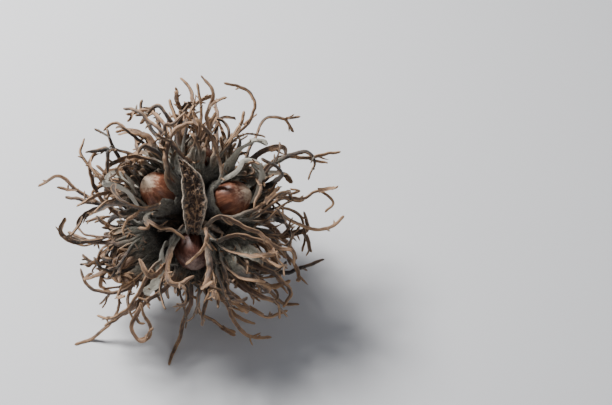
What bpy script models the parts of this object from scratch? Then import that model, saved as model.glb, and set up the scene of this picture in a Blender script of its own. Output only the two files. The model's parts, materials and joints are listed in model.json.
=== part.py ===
# A dried fruit cluster of the tree hazel: eight nuts, each in a felted husk with long curled lobes
#
# Lengths in this file are millimetres, and every finished mesh is scaled to metres.
# Places on the cluster are given in its face frame: x to the right, y up across the open face,
# and t out of it. The face leans back from the vertical and looks towards -Y.
import math
import random

import bmesh
import bpy
import numpy as np
from mathutils import Matrix, Vector

MM = 0.001
GAP = 0.3  # clearance between pieces that touch in the real cluster

# The pose of the cluster on its surface
FACE_ELEVATION = math.radians(50)
FACE_X = Vector((1, 0, 0))
FACE_T = Vector((0, -math.cos(FACE_ELEVATION), math.sin(FACE_ELEVATION)))
FACE_Y = FACE_T.cross(FACE_X)
HUB = Vector((-0.55, 0.1, 38.0))  # the point that all eight husks grow from

# The nut, from its flat scar to its point
NUT_WIDTH = 13.5
NUT_LENGTH = 15.8
NUT_BASE = 10.0  # from the hub to the scar
NUT_FLATNESS = 0.94  # a nut is a little narrower one way
NUT_PROFILE = [  # share of the length, share of the half width
    (0.0, 0.0), (0.0, 0.56), (0.07, 0.80), (0.2, 0.96), (0.4, 1.0),
    (0.6, 0.92), (0.77, 0.72), (0.9, 0.40), (0.965, 0.17), (1.0, 0.0),
]
NUT_SIDES = 12

# The cup of a husk, from its foot at the hub to its rim
CUP_WALL = 1.25
CUP_FOOT = 4.3
CUP_FOOT_RADIUS = 1.9
CUP_RIM = 15.8
CUP_SIDES = 12
CUP_RIBS = 4
CUP_RIB_DEPTH = 0.03

# The lobes that the rim is cut into
STEP = 1.2  # between the points of a lobe's route
SPACING = 7.0  # the most there is between two sections of a lobe
BEND = math.radians(42)  # the most that a lobe turns between two sections
LOBE_LENGTH = (26.0, 36.0)
LOBE_WIDTH = 2.1
LOBE_THICKNESS = 1.0
FORKED = 0.7  # share of the lobes that fork
ROOT_SUNK = 2.2  # how far a lobe's root reaches down inside the wall
CLEAR_OTHERS = 1.15  # to a lobe of another husk
CLEAR_OWN = 0.35  # to a lobe of the same husk
REACH = (38.0, 50.0)  # how far from the hub a lobe may grow
SOCKET = 6.0  # round its own root a lobe may meet its neighbours

STALK_AXIS = (0.0, -0.75, -0.66)
STALK_LENGTH = 24.0
STALK_RADIUS = 1.9
KNOB_RADIUS = 3.7
BRACT_PROFILE = [(0, 2.0), (1.1, 2.6), (1.3, 8.0), (1.5, 12.0), (0.7, 16.0), (0, 17.5)]  # radius, height
BRACT_SIDES = 5
BRACTS = [  # which way each bract of the knob points, in the face frame
    (-0.59, -0.32, 0.74), (0.74, -0.38, 0.56), (0.17, 0.12, 0.98), (-0.98, 0.18, 0.10),
    (-0.59, 0.81, -0.03), (0.0, 0.79, -0.61), (0.72, 0.69, -0.13),
]

# Places over three nuts that no grown lobe crosses: centre in the face frame, and radius
OPENINGS = [
    ((-13, 11, 24), 6.5), ((-15, 13, 31), 6.0), ((15, 7, 19), 6.5), ((18, 8, 27), 6.0),
    ((2, -14, 26), 5.5), ((2, -14, 33), 5.0),
]

# Each husk's axis in the face frame, how far it stands off the hub, and how many lobes it has
HUSKS = {
    "husk_1": {"axis": (-0.54, 0.47, 0.70), "lift": 0.7, "lobes": 16},
    "husk_2": {"axis": (0.82, 0.31, 0.48), "lift": 1.3, "lobes": 17},
    "husk_3": {"axis": (0.12, -0.69, 0.72), "lift": 0.5, "lobes": 16},
    "husk_4": {"axis": (0.17, 0.965, 0.20), "lift": 1.3, "lobes": 16},
    "husk_5": {"axis": (-0.80, -0.58, 0.0), "lift": 0.0, "lobes": 16},
    "husk_6": {"axis": (0.80, -0.55, -0.10), "lift": 0.2, "lobes": 16},
    "husk_7": {"axis": (-0.70, 0.30, -0.65), "lift": 0.0, "lobes": 12},
    "husk_8": {"axis": (0.68, 0.27, -0.68), "lift": 0.3, "lobes": 12},
}

# Lobes with a course of their own, as places in the face frame that each one passes.
# "width" is a multiple of the usual width, and a fork leaves at a share of the lobe's length.
SHAPED_LOBES = {
    "husk_1": [
        {"route": [(-23, 0, 4), (-29, 4, 8), (-33, 10, 10), (-34, 16, 12), (-32, 22, 12), (-28, 24, 10)],
         "width": 1.2},
        {"route": [(-17, 6, 18), (-24, 11, 18), (-31, 15, 17), (-36, 21, 16), (-35, 27, 14)], "width": 0.8},
        {"route": [(-14, -1, 20), (-9, -4, 23), (-4, -5, 23), (0, -8, 22)],
         "fork": (0.42, [(-12, -4, 23), (-16, -4, 22)])},
        {"route": [(-12, 20, 10), (-15, 27, 6), (-20, 30, 6), (-26, 29, 6)]},
        {"route": [(-17, 20, 4), (-20, 28, -2), (-27, 33, -5), (-32, 30, -6)]},
    ],
    "husk_2": [
        {"route": [(12, 14, 17), (11, 21, 19), (8, 31, 22), (8, 35, 24), (10, 42, 25), (6, 48, 24)],
         "fork": (0.72, [(11, 39, 26), (15, 40, 26)])},
        {"route": [(14, 17, 10), (13, 24, 8), (18, 31, 7), (20, 37, 8)], "width": 1.1},
        {"route": [(25, 1, 10), (31, 1, 9), (38, -3, 7), (46, -5, 5), (51, -4, 4), (55, 0, 3)]},
        {"route": [(24, 14, 2), (32, 21, -6), (43, 21, -8), (54, 23, -8)]},
        {"route": [(17, 15, 14), (20, 19, 14), (25, 18, 13), (27, 12, 11)], "width": 1.7},
        {"route": [(30, 7, 2), (40, 6, -4), (46, 9, -5), (51, 5, -5), (48, 1, -5)], "width": 0.8},
        {"route": [(20, 20, 2), (24, 30, -5), (27, 35, -6), (33, 35, -7), (37, 30, -8)]},
    ],
    "husk_3": [
        {"route": [(3, -3, 22), (3.6, 5, 25), (2.8, 12, 26.7), (0.6, 16.5, 27.6), (-1.6, 20, 28)],
         "width": 5.3, "leaf": True},
        {"route": [(8, -3, 22), (13, 0, 25), (21, -4, 25), (27, -7, 25), (32, -11, 24), (37, -12, 22),
                   (38, -17, 21)],
         "fork": (0.18, [(8, -7, 26), (5, -13, 26), (1, -17, 25)])},
        {"route": [(11, -9, 18), (15, -7, 20), (21, -7, 20), (28, -10, 19), (33, -15, 18)]},
        {"route": [(-4, -21, 15), (-10, -27, 18), (-16, -32, 18.5), (-18.5, -38, 18.5), (-16, -43, 19),
                   (-12.5, -41.5, 20), (-12, -37.5, 21), (-14, -34, 22), (-15, -29.5, 22.5)]},
        {"route": [(-12, -19, 17), (-15, -24, 16), (-18, -29, 14), (-22, -33, 13), (-27, -36, 11),
                   (-32, -35, 9)]},
        {"route": [(7, -24, 11), (13, -30, 9), (16, -38, 5), (21, -43, 2), (29, -44, 0)]},
        {"route": [(4, -25, 5), (3, -34, 0), (9, -39, -4), (16, -43, -7)], "width": 0.9},
    ],
    "husk_4": [
        {"route": [(1, 19, 18), (-2, 22, 24), (-7, 28, 25), (-12, 32, 23), (-15, 35, 22), (-22, 37, 18)],
         "fork": (0.55, [(-6, 31, 26), (-3, 31, 26), (1, 35, 26)])},
        {"route": [(4, 25, 15), (5, 30, 20), (6, 38, 24), (5, 45, 26)], "width": 0.9},
        {"route": [(12, 25, 0), (18, 31, -6), (22, 36, -8), (23, 41, -8), (19, 46, -8), (12, 48, -6)]},
        {"route": [(1, 30, -4), (0, 40, -9), (-1, 46, -10), (-5, 50, -11)], "width": 1.3},
        {"route": [(-4, 26, 5), (-5, 34, 4), (-7, 41, 4)], "width": 1.5},
        {"route": [(0, 18, 14), (2, 23, 13), (5, 29, 14), (3, 35, 15)], "width": 1.4},
        {"route": [(9, 18, 13), (10, 23, 13), (8, 29, 12), (10, 36, 12)], "width": 1.4},
    ],
    "husk_5": [
        {"route": [(-30, 3, -1), (-40, 9, 0), (-47, 14, 0), (-54, 10, 1)]},
        {"route": [(-20, -9, 9), (-29, -10, 5), (-37, -9, 2), (-44, -6, 0)]},
        {"route": [(-21, -13, 10), (-26, -16, 9), (-25, -20, 9), (-21, -21, 10)], "width": 1.2},
        {"route": [(-14, -18, 4), (-19, -24, 6), (-28, -28, 5), (-36, -25, 3), (-39, -19, 2)]},
        {"route": [(-9, -16, 2), (-14, -27, 2), (-22, -34, 0), (-31, -40, -2)]},
    ],
    "husk_6": [
        {"route": [(22, -5, 6), (32, 2, 2), (39, 0, -1), (41, -6, -2), (40, -13, -2)], "width": 0.8},
        {"route": [(13, -17, 5), (18, -23, 8), (25, -28, 8), (31, -31, 5), (32, -37, 2)], "width": 1.3},
        {"route": [(10, -16, 1), (13, -25, 3), (20, -32, 4), (28, -36, 2), (35, -34, 0)]},
        {"route": [(17, -14, 6), (24, -18, 8), (32, -22, 6), (36, -28, 3), (33, -33, 1)], "width": 1.2},
        {"route": [(9, -16, -3), (11, -27, -3), (15, -35, -4), (23, -39, -5)]},
    ],
    "husk_7": [],
    "husk_8": [],
}

# Lobes that the cluster stands on, as places x and y from the hub and z above the surface
FOOT_LOBES = {
    "husk_3": [[(0, -25, 19), (-3, -28, 10), (-5, -31, 3), (-7, -34, 0), (-8, -39, 0)]],
    "husk_5": [[(-24, -18, 21), (-27, -24, 11), (-34, -27, 3), (-38, -28, 0), (-43, -30, 0)]],
    "husk_6": [[(23, -11, 18), (28, -12, 9), (32, -12, 2), (34, -12, 0), (39, -12, 0)]],
    "husk_7": [[(-18, 22, 18), (-20, 29, 9), (-22, 34, 2), (-23, 37, 0), (-24, 42, 0)]],
    "husk_8": [[(20, 22, 16), (23, 29, 8), (26, 34, 2), (27, 37, 0), (29, 42, 0)]],
}
LOWEST = 0.18  # height of a foot lobe's middle where it is pressed flat on the surface

MATERIALS = {  # base colour, roughness
    "husk": ((0.105, 0.072, 0.050), 0.85),
    "nut": ((0.235, 0.085, 0.040), 0.42),
    "stalk": ((0.120, 0.080, 0.055), 0.80),
}


def clear_scene():
    for obj in list(bpy.data.objects):
        bpy.data.objects.remove(obj)


def make_material(name):
    colour, roughness = MATERIALS[name]
    material = bpy.data.materials.new(name)
    material.use_nodes = True
    shader = material.node_tree.nodes["Principled BSDF"]
    shader.inputs["Base Color"].default_value = (*colour, 1)
    shader.inputs["Roughness"].default_value = roughness
    shader.inputs["Metallic"].default_value = 0
    return material


def face_direction(place):
    """A direction or offset given in the face frame, in the frame of the surface."""
    return FACE_X * place[0] + FACE_Y * place[1] + FACE_T * place[2]


def face_place(place):
    return HUB + face_direction(place)


def husk_matrix(axis, lift):
    """The husk's own frame: its origin at the hub, raised by lift, and its +Z out through the nut."""
    out = face_direction(axis).normalized()
    return Matrix.Translation(HUB + out * lift) @ out.to_track_quat("Z", "Y").to_matrix().to_4x4()


def nut_radius(height):
    """The nut's half width at a height above its scar."""
    shares, widths = zip(*NUT_PROFILE[1:])
    return float(np.interp(height / NUT_LENGTH, shares, widths)) * NUT_WIDTH / 2


class Tangle:
    """What already fills the space round the hub, as balls that each belong to a husk."""

    LOBE, CUP, NUT = range(3)

    def __init__(self):
        self.places = np.zeros((0, 3))
        self.radii = np.zeros(0)
        self.owners = np.zeros(0, int)
        self.kinds = np.zeros(0, int)

    def add(self, places, radius, owner, kind=LOBE):
        self.places = np.vstack([self.places, np.array([tuple(p) for p in places])])
        self.radii = np.append(self.radii, [radius] * len(places))
        self.owners = np.append(self.owners, [owner] * len(places))
        self.kinds = np.append(self.kinds, [kind] * len(places))

    def depths(self, place, radius, owner, root):
        """How far a ball at place would reach into each ball that is there. Below zero is clear."""
        own = self.owners == owner
        spare = np.where(own, CLEAR_OWN, CLEAR_OTHERS)
        found = self.radii + radius + spare - np.linalg.norm(self.places - np.array(tuple(place)), axis=1)
        if (place - root).length < SOCKET:
            found[own & (self.kinds == self.CUP)] = -1
        near_root = np.linalg.norm(self.places - np.array(tuple(root)), axis=1) < SOCKET
        found[own & near_root & (self.kinds == self.LOBE)] = -1
        return found

    def worst(self, place, radius, owner, root):
        return float(self.depths(place, radius, owner, root).max())

    def push(self, place, radius, owner, root):
        """The shift that takes a ball at place clear of what is there."""
        found = self.depths(place, radius, owner, root)
        shift = Vector((0, 0, 0))
        for index in np.nonzero(found > 0)[0]:
            apart = place - Vector(self.places[index])
            if apart.length > 1e-6:
                shift += apart.normalized() * float(found[index])
        return shift


def fill_with_bodies(tangle, frames):
    """Balls that stand for each husk's cup and nut, and for the stalk."""
    for owner, frame in enumerate(frames.values()):
        for height, radius in ((7.0, 3.6), (11.0, 6.2), (13.5, 8.0), (14.8, 8.1)):
            tangle.add([frame @ Vector((0, 0, height))], radius, owner, Tangle.CUP)
        for height in (8.0, 10.5, 13.0):
            place = frame @ Vector((0, 0, NUT_BASE + height))
            tangle.add([place], nut_radius(height) * 0.97, owner, Tangle.NUT)
    down = face_direction(STALK_AXIS).normalized()
    stalk = [HUB + down * along for along in np.arange(0, STALK_LENGTH + 2, 2.0)]
    tangle.add(stalk, STALK_RADIUS + 0.6, -1)
    for place in BRACTS:
        out = face_direction(place).normalized()
        tangle.add([HUB + out * 12.0, HUB + out * 15.5], 1.3, -1)


def keep_openings(tangle):
    for place, radius in OPENINGS:
        tangle.add([face_place(place)], radius, -1)


def smooth_route(places):
    """Points a step apart on a smooth curve through the places."""
    ends = [places[0] * 2 - places[1], *places, places[-1] * 2 - places[-2]]
    fine = []
    for a, b, c, d in zip(ends, ends[1:], ends[2:], ends[3:]):
        for k in range(12):
            s = k / 12
            bend = (2 * a - 5 * b + 4 * c - d) * s**2 + (3 * b - a - 3 * c + d) * s**3
            fine.append((2 * b + (c - a) * s + bend) / 2)
    fine.append(places[-1])
    return resample(fine, STEP)


def resample(points, step):
    """Points evenly apart along a route, about a step from each other."""
    lengths = np.cumsum([0] + [(b - a).length for a, b in zip(points, points[1:])])
    count = max(3, round(lengths[-1] / step) + 1)
    wanted = np.linspace(0, lengths[-1], count)
    table = np.array([tuple(p) for p in points])
    return [Vector([np.interp(w, lengths, table[:, k]) for k in range(3)]) for w in wanted]


def lobe_taper(share, leaf):
    """How wide a lobe is at a share of its length, as a multiple of its usual width."""
    if leaf:
        return float(np.interp(share, (0, 0.25, 0.6, 0.8, 1), (0.6, 0.85, 1.0, 0.6, 0.1)))
    return float(np.interp(share, (0, 0.12, 0.35, 0.75, 0.93, 1), (1.7, 1.35, 1.0, 0.85, 0.8, 0.55)))


def section_places(points):
    """The points of a route where a lobe gets a section: closer together where it bends, and one
    where a foot lobe comes down on the surface."""
    kept = [points[0]]
    heading = (points[1] - points[0]).normalized()
    since = 0.0
    for before, point, after in zip(points, points[1:], points[2:]):
        since += (point - before).length
        ahead = (after - point).normalized()
        bent = ahead.angle(heading) > BEND and since > 1.5 * STEP
        lands = before.z > LOWEST + 0.001 > point.z
        if lands or (before.z > LOWEST + 0.001 and (bent or since >= SPACING)):
            kept.append(point)
            heading = ahead
            since = 0.0
    return [*kept, points[-1]]


def bend_clear(points, radius, tangle, owner, fixed):
    """Moves all but the first points of a route off whatever they would run into."""
    points = list(points)
    floor = radius + 0.5
    for _ in range(30):
        moved = False
        for i in range(fixed, len(points)):
            shift = tangle.push(points[i], radius, owner, points[0])
            if shift.length > 0.02:
                points[i] = points[i] + shift * 0.6
                moved = True
            if points[i].z < floor:
                points[i] = Vector((points[i].x, points[i].y, floor))
        for i in range(fixed, len(points) - 1):
            middle = (points[i - 1] + points[i + 1]) / 2
            points[i] = points[i].lerp(middle, 0.15)
        if not moved:
            break
    return points


def grow(rng, start, heading, bend_axis, length, radius, tangle, owner, root, reach):
    """Lays a lobe down step by step. It curls about bend_axis, more tightly towards its tip, and
    turns off anything in its way."""
    points = [start]
    curl = rng.uniform(12.0, 34.0)
    twist = math.radians(rng.uniform(-9, 9))
    hook = rng.uniform(0.55, 0.85)
    tightness = rng.uniform(2.0, 3.6)
    steps = round(length / STEP)
    for step in range(steps):
        place = points[-1]
        out = (place - HUB).normalized()
        turn = STEP / curl * (tightness if step > hook * steps else 1)
        bend_axis = Matrix.Rotation(twist, 3, heading) @ bend_axis
        near = (place - HUB).length < 24
        best, best_depth = None, 0.0
        for swing, share in SWINGS:
            axis = Matrix.Rotation(math.radians(swing), 3, heading) @ bend_axis
            to = Matrix.Rotation(turn * share, 3, axis) @ heading
            if near:
                to = (to + out * 0.12).normalized()
            if (place + to * STEP - HUB).length > reach:
                to = (to - out * 0.45).normalized()
            ahead = place + to * STEP
            low = radius + 0.6
            if (ahead + to * 2 * STEP).z < low:
                to = Vector((to.x, to.y, abs(to.z) * 0.5 + 0.1)).normalized()
                ahead = place + to * STEP
            depth = max(
                tangle.worst(ahead, radius, owner, root),
                tangle.worst(ahead + to * STEP, radius, owner, root) - 0.3,
                low - ahead.z,
            )
            if best is None or depth < best_depth:
                best, best_depth = to, depth
            if depth <= 0:
                break
        if best_depth > 0:
            break
        heading = best
        bend_axis = (bend_axis - heading * bend_axis.dot(heading)).normalized()
        points.append(place + heading * STEP)
    return points


SWINGS = [  # how far round the bend may swing, in degrees, and how much tighter it may turn
    (0, 1), (40, 1), (-40, 1), (80, 1.5), (-80, 1.5), (120, 2), (-120, 2), (180, 2),
    (0, 4), (60, 4), (-60, 4), (120, 4), (-120, 4), (180, 4),
]


def rim_root(frame, azimuth):
    """Where a lobe starts inside the wall of the cup, the rim above it, and the direction of its width."""
    radial = Vector((math.cos(azimuth), math.sin(azimuth), 0))
    across = frame.to_3x3() @ Vector((-math.sin(azimuth), math.cos(azimuth), 0))
    middle = NUT_WIDTH / 2 + GAP + CUP_WALL / 2
    start = frame @ (radial * middle + Vector((0, 0, CUP_RIM - ROOT_SUNK)))
    rim = frame @ (radial * middle + Vector((0, 0, CUP_RIM + 0.4)))
    return start, rim, across


def azimuth_of(frame, place):
    local = frame.inverted() @ place
    return math.atan2(local.y, local.x)


def lobe_radius(width):
    """The ball that stands for a lobe where it passes others."""
    return LOBE_THICKNESS / 2 + max(width - 1, 0) * 0.35 * LOBE_WIDTH / 2


def add_lobe(lobes, tangle, owner, points, width, across, **facts):
    tangle.add(points, lobe_radius(width), owner)
    lobe = {"points": points, "width": width, "across": across, "fork": False, "foot": False, "leaf": False}
    lobes.append({**lobe, **facts})


def shaped_lobes(frame, name, owner, tangle):
    """The lobes of one husk that have a course of their own, and where they stand on its rim."""
    lobes, taken = [], []
    for feet in FOOT_LOBES.get(name, []):
        places = [Vector((HUB.x + x, HUB.y + y, max(z, LOWEST))) for x, y, z in feet]
        azimuth = azimuth_of(frame, places[0])
        start, rim, across = rim_root(frame, azimuth)
        taken.append(azimuth)
        points = [Vector((p.x, p.y, max(p.z, LOWEST))) for p in smooth_route([start, rim, *places])]
        add_lobe(lobes, tangle, owner, points, 1.1, across, foot=True)
    for shaped in SHAPED_LOBES[name]:
        places = [face_place(p) for p in shaped["route"]]
        width = shaped.get("width", 1.0)
        azimuth = azimuth_of(frame, places[0])
        start, rim, across = rim_root(frame, azimuth)
        taken.append(azimuth)
        points = bend_clear(smooth_route([start, rim, *places]), lobe_radius(width), tangle, owner, 4)
        add_lobe(lobes, tangle, owner, points, width, across, leaf=shaped.get("leaf", False))
        if "fork" in shaped:
            share, tips = shaped["fork"]
            first = points[round(share * (len(points) - 1))]
            route = smooth_route([first, *[face_place(p) for p in tips]])
            add_lobe(lobes, tangle, owner, route, 0.75, across, fork=True)
    return lobes, taken


def grown_lobes(frame, count, owner, tangle, taken, rng):
    """Lobes on the stretches of rim that are still free."""
    lobes = []
    for slot in range(count):
        azimuth = 2 * math.pi * (slot + rng.uniform(-0.2, 0.2)) / count
        nearest = min([abs((azimuth - t + math.pi) % (2 * math.pi) - math.pi) for t in taken], default=9)
        if nearest < 0.55 * 2 * math.pi / count:
            continue
        start, rim, across = rim_root(frame, azimuth)
        heading = (rim - start).normalized()
        reach = rng.uniform(*REACH)
        length = rng.uniform(*LOBE_LENGTH)
        outward = rng.uniform(0.25, 1.0)
        radial = across.cross(heading)
        lean = (heading + radial * 0.5 * outward).normalized()
        swing = rng.uniform(-60, 60)
        bend_axis = Matrix.Rotation(math.radians(swing), 3, lean) @ (-across)
        bend_axis *= 1 if rng.random() < 0.8 else -1
        bend_axis = (bend_axis - lean * bend_axis.dot(lean)).normalized()
        radius = LOBE_THICKNESS / 2 + 0.1
        grown = grow(rng, rim, lean, bend_axis, length, radius, tangle, owner, start, reach)
        points = resample([start, *grown], STEP)
        if len(grown) < 8:
            continue
        add_lobe(lobes, tangle, owner, points, rng.uniform(0.85, 1.3), across)
    return lobes


def grown_forks(lobes, owner, tangle, rng):
    """Side branches, one on most lobes."""
    forks = []
    for lobe in lobes:
        if lobe["fork"] or lobe["foot"] or lobe["width"] > 1.6:
            continue
        share = rng.choice((0.5, 0.62, 0.74, 0.86))
        points = lobe["points"]
        at = round(share * (len(points) - 1))
        along = (points[at] - points[at - 1]).normalized()
        round_it = Matrix.Rotation(math.radians(rng.uniform(0, 360)), 3, along)
        aside = round_it @ along.orthogonal().normalized()
        heading = (along + aside * rng.uniform(0.6, 1.2)).normalized()
        axis = heading.cross(along).normalized()
        start = points[at]
        length = rng.uniform(5, 9)
        grown = grow(rng, start, heading, axis, length, 0.5, tangle, owner, start, REACH[1] + 4)
        if len(grown) >= 4 and rng.random() < FORKED:
            add_lobe(forks, tangle, owner, grown, rng.uniform(0.6, 0.8), axis, fork=True)
    return forks


def all_lobes(frames):
    """Every husk's lobes, the shaped ones of all husks before the grown ones."""
    tangle = Tangle()
    fill_with_bodies(tangle, frames)
    found, taken = {}, {}
    for owner, (name, frame) in enumerate(frames.items()):
        found[name], taken[name] = shaped_lobes(frame, name, owner, tangle)
    keep_openings(tangle)
    for owner, (name, frame) in enumerate(frames.items()):
        rng = random.Random(name)
        found[name] += grown_lobes(frame, HUSKS[name]["lobes"], owner, tangle, taken[name], rng)
    for owner, name in enumerate(frames):
        rng = random.Random(name + " forks")
        found[name] += grown_forks(found[name], owner, tangle, rng)
    return found


def finish_mesh(bm, name, material):
    """A named object from a bmesh in millimetres."""
    bmesh.ops.scale(bm, vec=(MM, MM, MM), verts=bm.verts[:])
    bmesh.ops.recalc_face_normals(bm, faces=bm.faces[:])
    mesh = bpy.data.meshes.new(name)
    bm.to_mesh(mesh)
    bm.free()
    mesh.materials.append(material)
    obj = bpy.data.objects.new(name, mesh)
    bpy.context.scene.collection.objects.link(obj)
    return obj


def turned(profile, sides):
    """A closed body turned about Z from a profile of (radius, height) that starts and ends on the axis."""
    bm = bmesh.new()
    verts = [bm.verts.new((radius, 0, height)) for radius, height in profile]
    edges = [bm.edges.new(pair) for pair in zip(verts, verts[1:])]
    full = 2 * math.pi
    bmesh.ops.spin(
        bm, geom=verts + edges, cent=(0, 0, 0), axis=(0, 0, 1), angle=full, steps=sides, use_merge=True
    )
    bmesh.ops.remove_doubles(bm, verts=bm.verts[:], dist=0.01)
    return bm


def make_nut(name, frame, turn, material):
    profile = [(width * NUT_WIDTH / 2, NUT_BASE + share * NUT_LENGTH) for share, width in NUT_PROFILE]
    bm = turned(profile, NUT_SIDES)
    bmesh.ops.scale(bm, vec=(1, NUT_FLATNESS, 1), verts=bm.verts[:])
    bmesh.ops.rotate(bm, cent=(0, 0, 0), matrix=Matrix.Rotation(turn, 3, "Z"), verts=bm.verts[:])
    bmesh.ops.transform(bm, matrix=frame, verts=bm.verts[:])
    nut = finish_mesh(bm, name, material)
    nut.data.shade_smooth()
    nut.data.set_sharp_from_angle(angle=math.radians(50))
    return nut


def make_cup(name, frame, turn, material):
    """The cup: a fleshy wall round the lower half of the nut, on a narrow foot."""
    spare = GAP / math.cos(math.pi / CUP_SIDES) + 0.2
    seat = NUT_BASE - GAP
    inner = [(0, seat)]
    for share, width in NUT_PROFILE[1:4]:
        inner.append((width * NUT_WIDTH / 2 + spare, seat + share * NUT_LENGTH))
    widest = NUT_WIDTH / 2 + spare
    inner += [(widest, NUT_BASE + 0.4 * NUT_LENGTH), (widest, CUP_RIM)]
    outer = [
        (widest + CUP_WALL, CUP_RIM), (widest + CUP_WALL, 14.2), (7.2, 12.2), (5.2, 9.4),
        (3.2, 6.6), (CUP_FOOT_RADIUS, CUP_FOOT), (0, CUP_FOOT),
    ]
    bm = turned(inner + outer, CUP_SIDES)
    for vert in bm.verts:
        angle = math.atan2(vert.co.y, vert.co.x)
        height = vert.co.z
        outside = vert.co.xy.length > nut_radius(height - NUT_BASE) + CUP_WALL
        if outside and CUP_FOOT + 1 < height < CUP_RIM - 0.1:
            swell = 1 - CUP_RIB_DEPTH * (0.5 + 0.5 * math.cos(CUP_RIBS * angle + turn))
            vert.co.x *= swell
            vert.co.y *= swell
    bmesh.ops.transform(bm, matrix=frame, verts=bm.verts[:])
    return finish_mesh(bm, name, material)


def section_frames(lobe):
    """Where each section of a lobe stands: its width along X, its thickness along Y."""
    route = section_places(lobe["points"])
    travelled = np.cumsum([0] + [(b - a).length for a, b in zip(route, route[1:])])
    frames = []
    side = lobe["across"]
    for i, point in enumerate(route):
        ahead = route[min(i + 1, len(route) - 1)]
        behind = route[max(i - 1, 0)]
        along = (ahead - behind).normalized()
        if lobe["foot"] and point.z < 4:
            level = Vector((0, 0, 1)).cross(along)
            side = level if level.dot(side) > 0 else -level
        side = (side - along * side.dot(along)).normalized()
        up = along.cross(side)
        taper = lobe_taper(travelled[i] / travelled[-1], lobe["leaf"])
        half_width = lobe["width"] * taper * LOBE_WIDTH / 2
        half_thickness = LOBE_THICKNESS / 2 * (0.8 + 0.2 * min(taper, 1.2))
        frames.append(
            Matrix.Translation(point)
            @ Matrix((side * half_width, up * half_thickness, along)).transposed().to_4x4()
        )
    return frames


def make_lobe(name, lobe):
    """A strap drawn out along its route and closed at both ends, four-sided, or three-sided for a fork."""
    frames = section_frames(lobe)
    sides = 3 if lobe["fork"] else 4
    bm = bmesh.new()
    bmesh.ops.create_circle(bm, cap_ends=True, radius=1.15, segments=sides)
    bmesh.ops.rotate(bm, cent=(0, 0, 0), matrix=Matrix.Rotation(math.pi / 4, 3, "Z"), verts=bm.verts[:])
    bmesh.ops.transform(bm, matrix=frames[0], verts=bm.verts[:])
    top = bm.faces[:]
    for before, after in zip(frames, frames[1:]):
        made = bmesh.ops.extrude_face_region(bm, geom=top)["geom"]
        if before is not frames[0]:
            bmesh.ops.delete(bm, geom=top, context="FACES_ONLY")
        top = [g for g in made if isinstance(g, bmesh.types.BMFace)]
        corners = [g for g in made if isinstance(g, bmesh.types.BMVert)]
        bmesh.ops.transform(bm, matrix=after @ before.inverted(), verts=corners)
    for vert in bm.verts:
        vert.co.z = max(vert.co.z, 0)
    return loose_object(bm, name)


def loose_object(bm, name):
    """An object outside the scene, from a bmesh in millimetres."""
    bmesh.ops.recalc_face_normals(bm, faces=bm.faces[:])
    bmesh.ops.scale(bm, vec=(MM, MM, MM), verts=bm.verts[:])
    mesh = bpy.data.meshes.new(name)
    bm.to_mesh(mesh)
    bm.free()
    return bpy.data.objects.new(name, mesh)


def unite(body, pieces):
    """One Boolean union of a body with loose pieces, applied, with the pieces then removed."""
    collection = bpy.data.collections.new(body.name + " pieces")
    bpy.context.scene.collection.children.link(collection)
    for piece in pieces:
        collection.objects.link(piece)
    union = body.modifiers.new("pieces", "BOOLEAN")
    union.operation = "UNION"
    union.operand_type = "COLLECTION"
    union.collection = collection
    union.solver = "MANIFOLD"
    bpy.context.view_layer.update()
    graph = bpy.context.evaluated_depsgraph_get()
    joined = bpy.data.meshes.new_from_object(body.evaluated_get(graph), depsgraph=graph)
    body.modifiers.clear()
    body.data = joined
    drop_specks(joined)
    for piece in pieces:
        bpy.data.objects.remove(piece)
    bpy.data.collections.remove(collection)


def drop_specks(mesh):
    """Deletes the tiny closed shells that a union can leave between two lobe roots."""
    bm = bmesh.new()
    bm.from_mesh(mesh)
    left = set(bm.verts)
    while left:
        first = left.pop()
        island, front = {first}, [first]
        while front:
            vert = front.pop()
            near = {edge.other_vert(vert) for edge in vert.link_edges} & left
            left -= near
            island |= near
            front += near
        if len(island) < 20:
            bmesh.ops.delete(bm, geom=list(island), context="VERTS")
    bm.to_mesh(mesh)
    bm.free()


def make_stalk(material):
    """The knob that the husks grow from and the stub of the twig below it."""
    down = face_direction(STALK_AXIS).normalized()
    frame = Matrix.Translation(HUB) @ down.to_track_quat("Z", "Y").to_matrix().to_4x4()
    profile = [(0, -KNOB_RADIUS)]
    for angle in range(30, 150, 30):
        turn = math.radians(angle)
        profile.append((KNOB_RADIUS * math.sin(turn), -KNOB_RADIUS * math.cos(turn)))
    profile += [
        (STALK_RADIUS, 7.0), (STALK_RADIUS * 0.9, 14.0), (STALK_RADIUS * 1.1, 20.0),
        (STALK_RADIUS * 1.25, STALK_LENGTH - 0.5), (STALK_RADIUS * 1.1, STALK_LENGTH), (0, STALK_LENGTH),
    ]
    bm = turned(profile, 10)
    bmesh.ops.transform(bm, matrix=frame, verts=bm.verts[:])
    stalk = finish_mesh(bm, "stalk", material)
    unite(stalk, [make_bract(place) for place in BRACTS])


def make_bract(place):
    """A small pointed scale that stands on the knob in the space between the husks."""
    out = face_direction(place).normalized()
    bm = turned(BRACT_PROFILE, BRACT_SIDES)
    frame = Matrix.Translation(HUB) @ out.to_track_quat("Z", "Y").to_matrix().to_4x4()
    bmesh.ops.transform(bm, matrix=frame, verts=bm.verts[:])
    return loose_object(bm, "bract")


def main():
    clear_scene()
    materials = {name: make_material(name) for name in MATERIALS}
    frames = {name: husk_matrix(husk["axis"], husk["lift"]) for name, husk in HUSKS.items()}
    lobes = all_lobes(frames)
    make_stalk(materials["stalk"])
    for index, (name, frame) in enumerate(frames.items()):
        turn = 1.3 * index
        make_nut(name.replace("husk", "nut"), frame, turn, materials["nut"])
        husk = make_cup(name, frame, turn, materials["husk"])
        unite(husk, [make_lobe(f"{name} lobe {i}", lobe) for i, lobe in enumerate(lobes[name])])


main()
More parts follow.
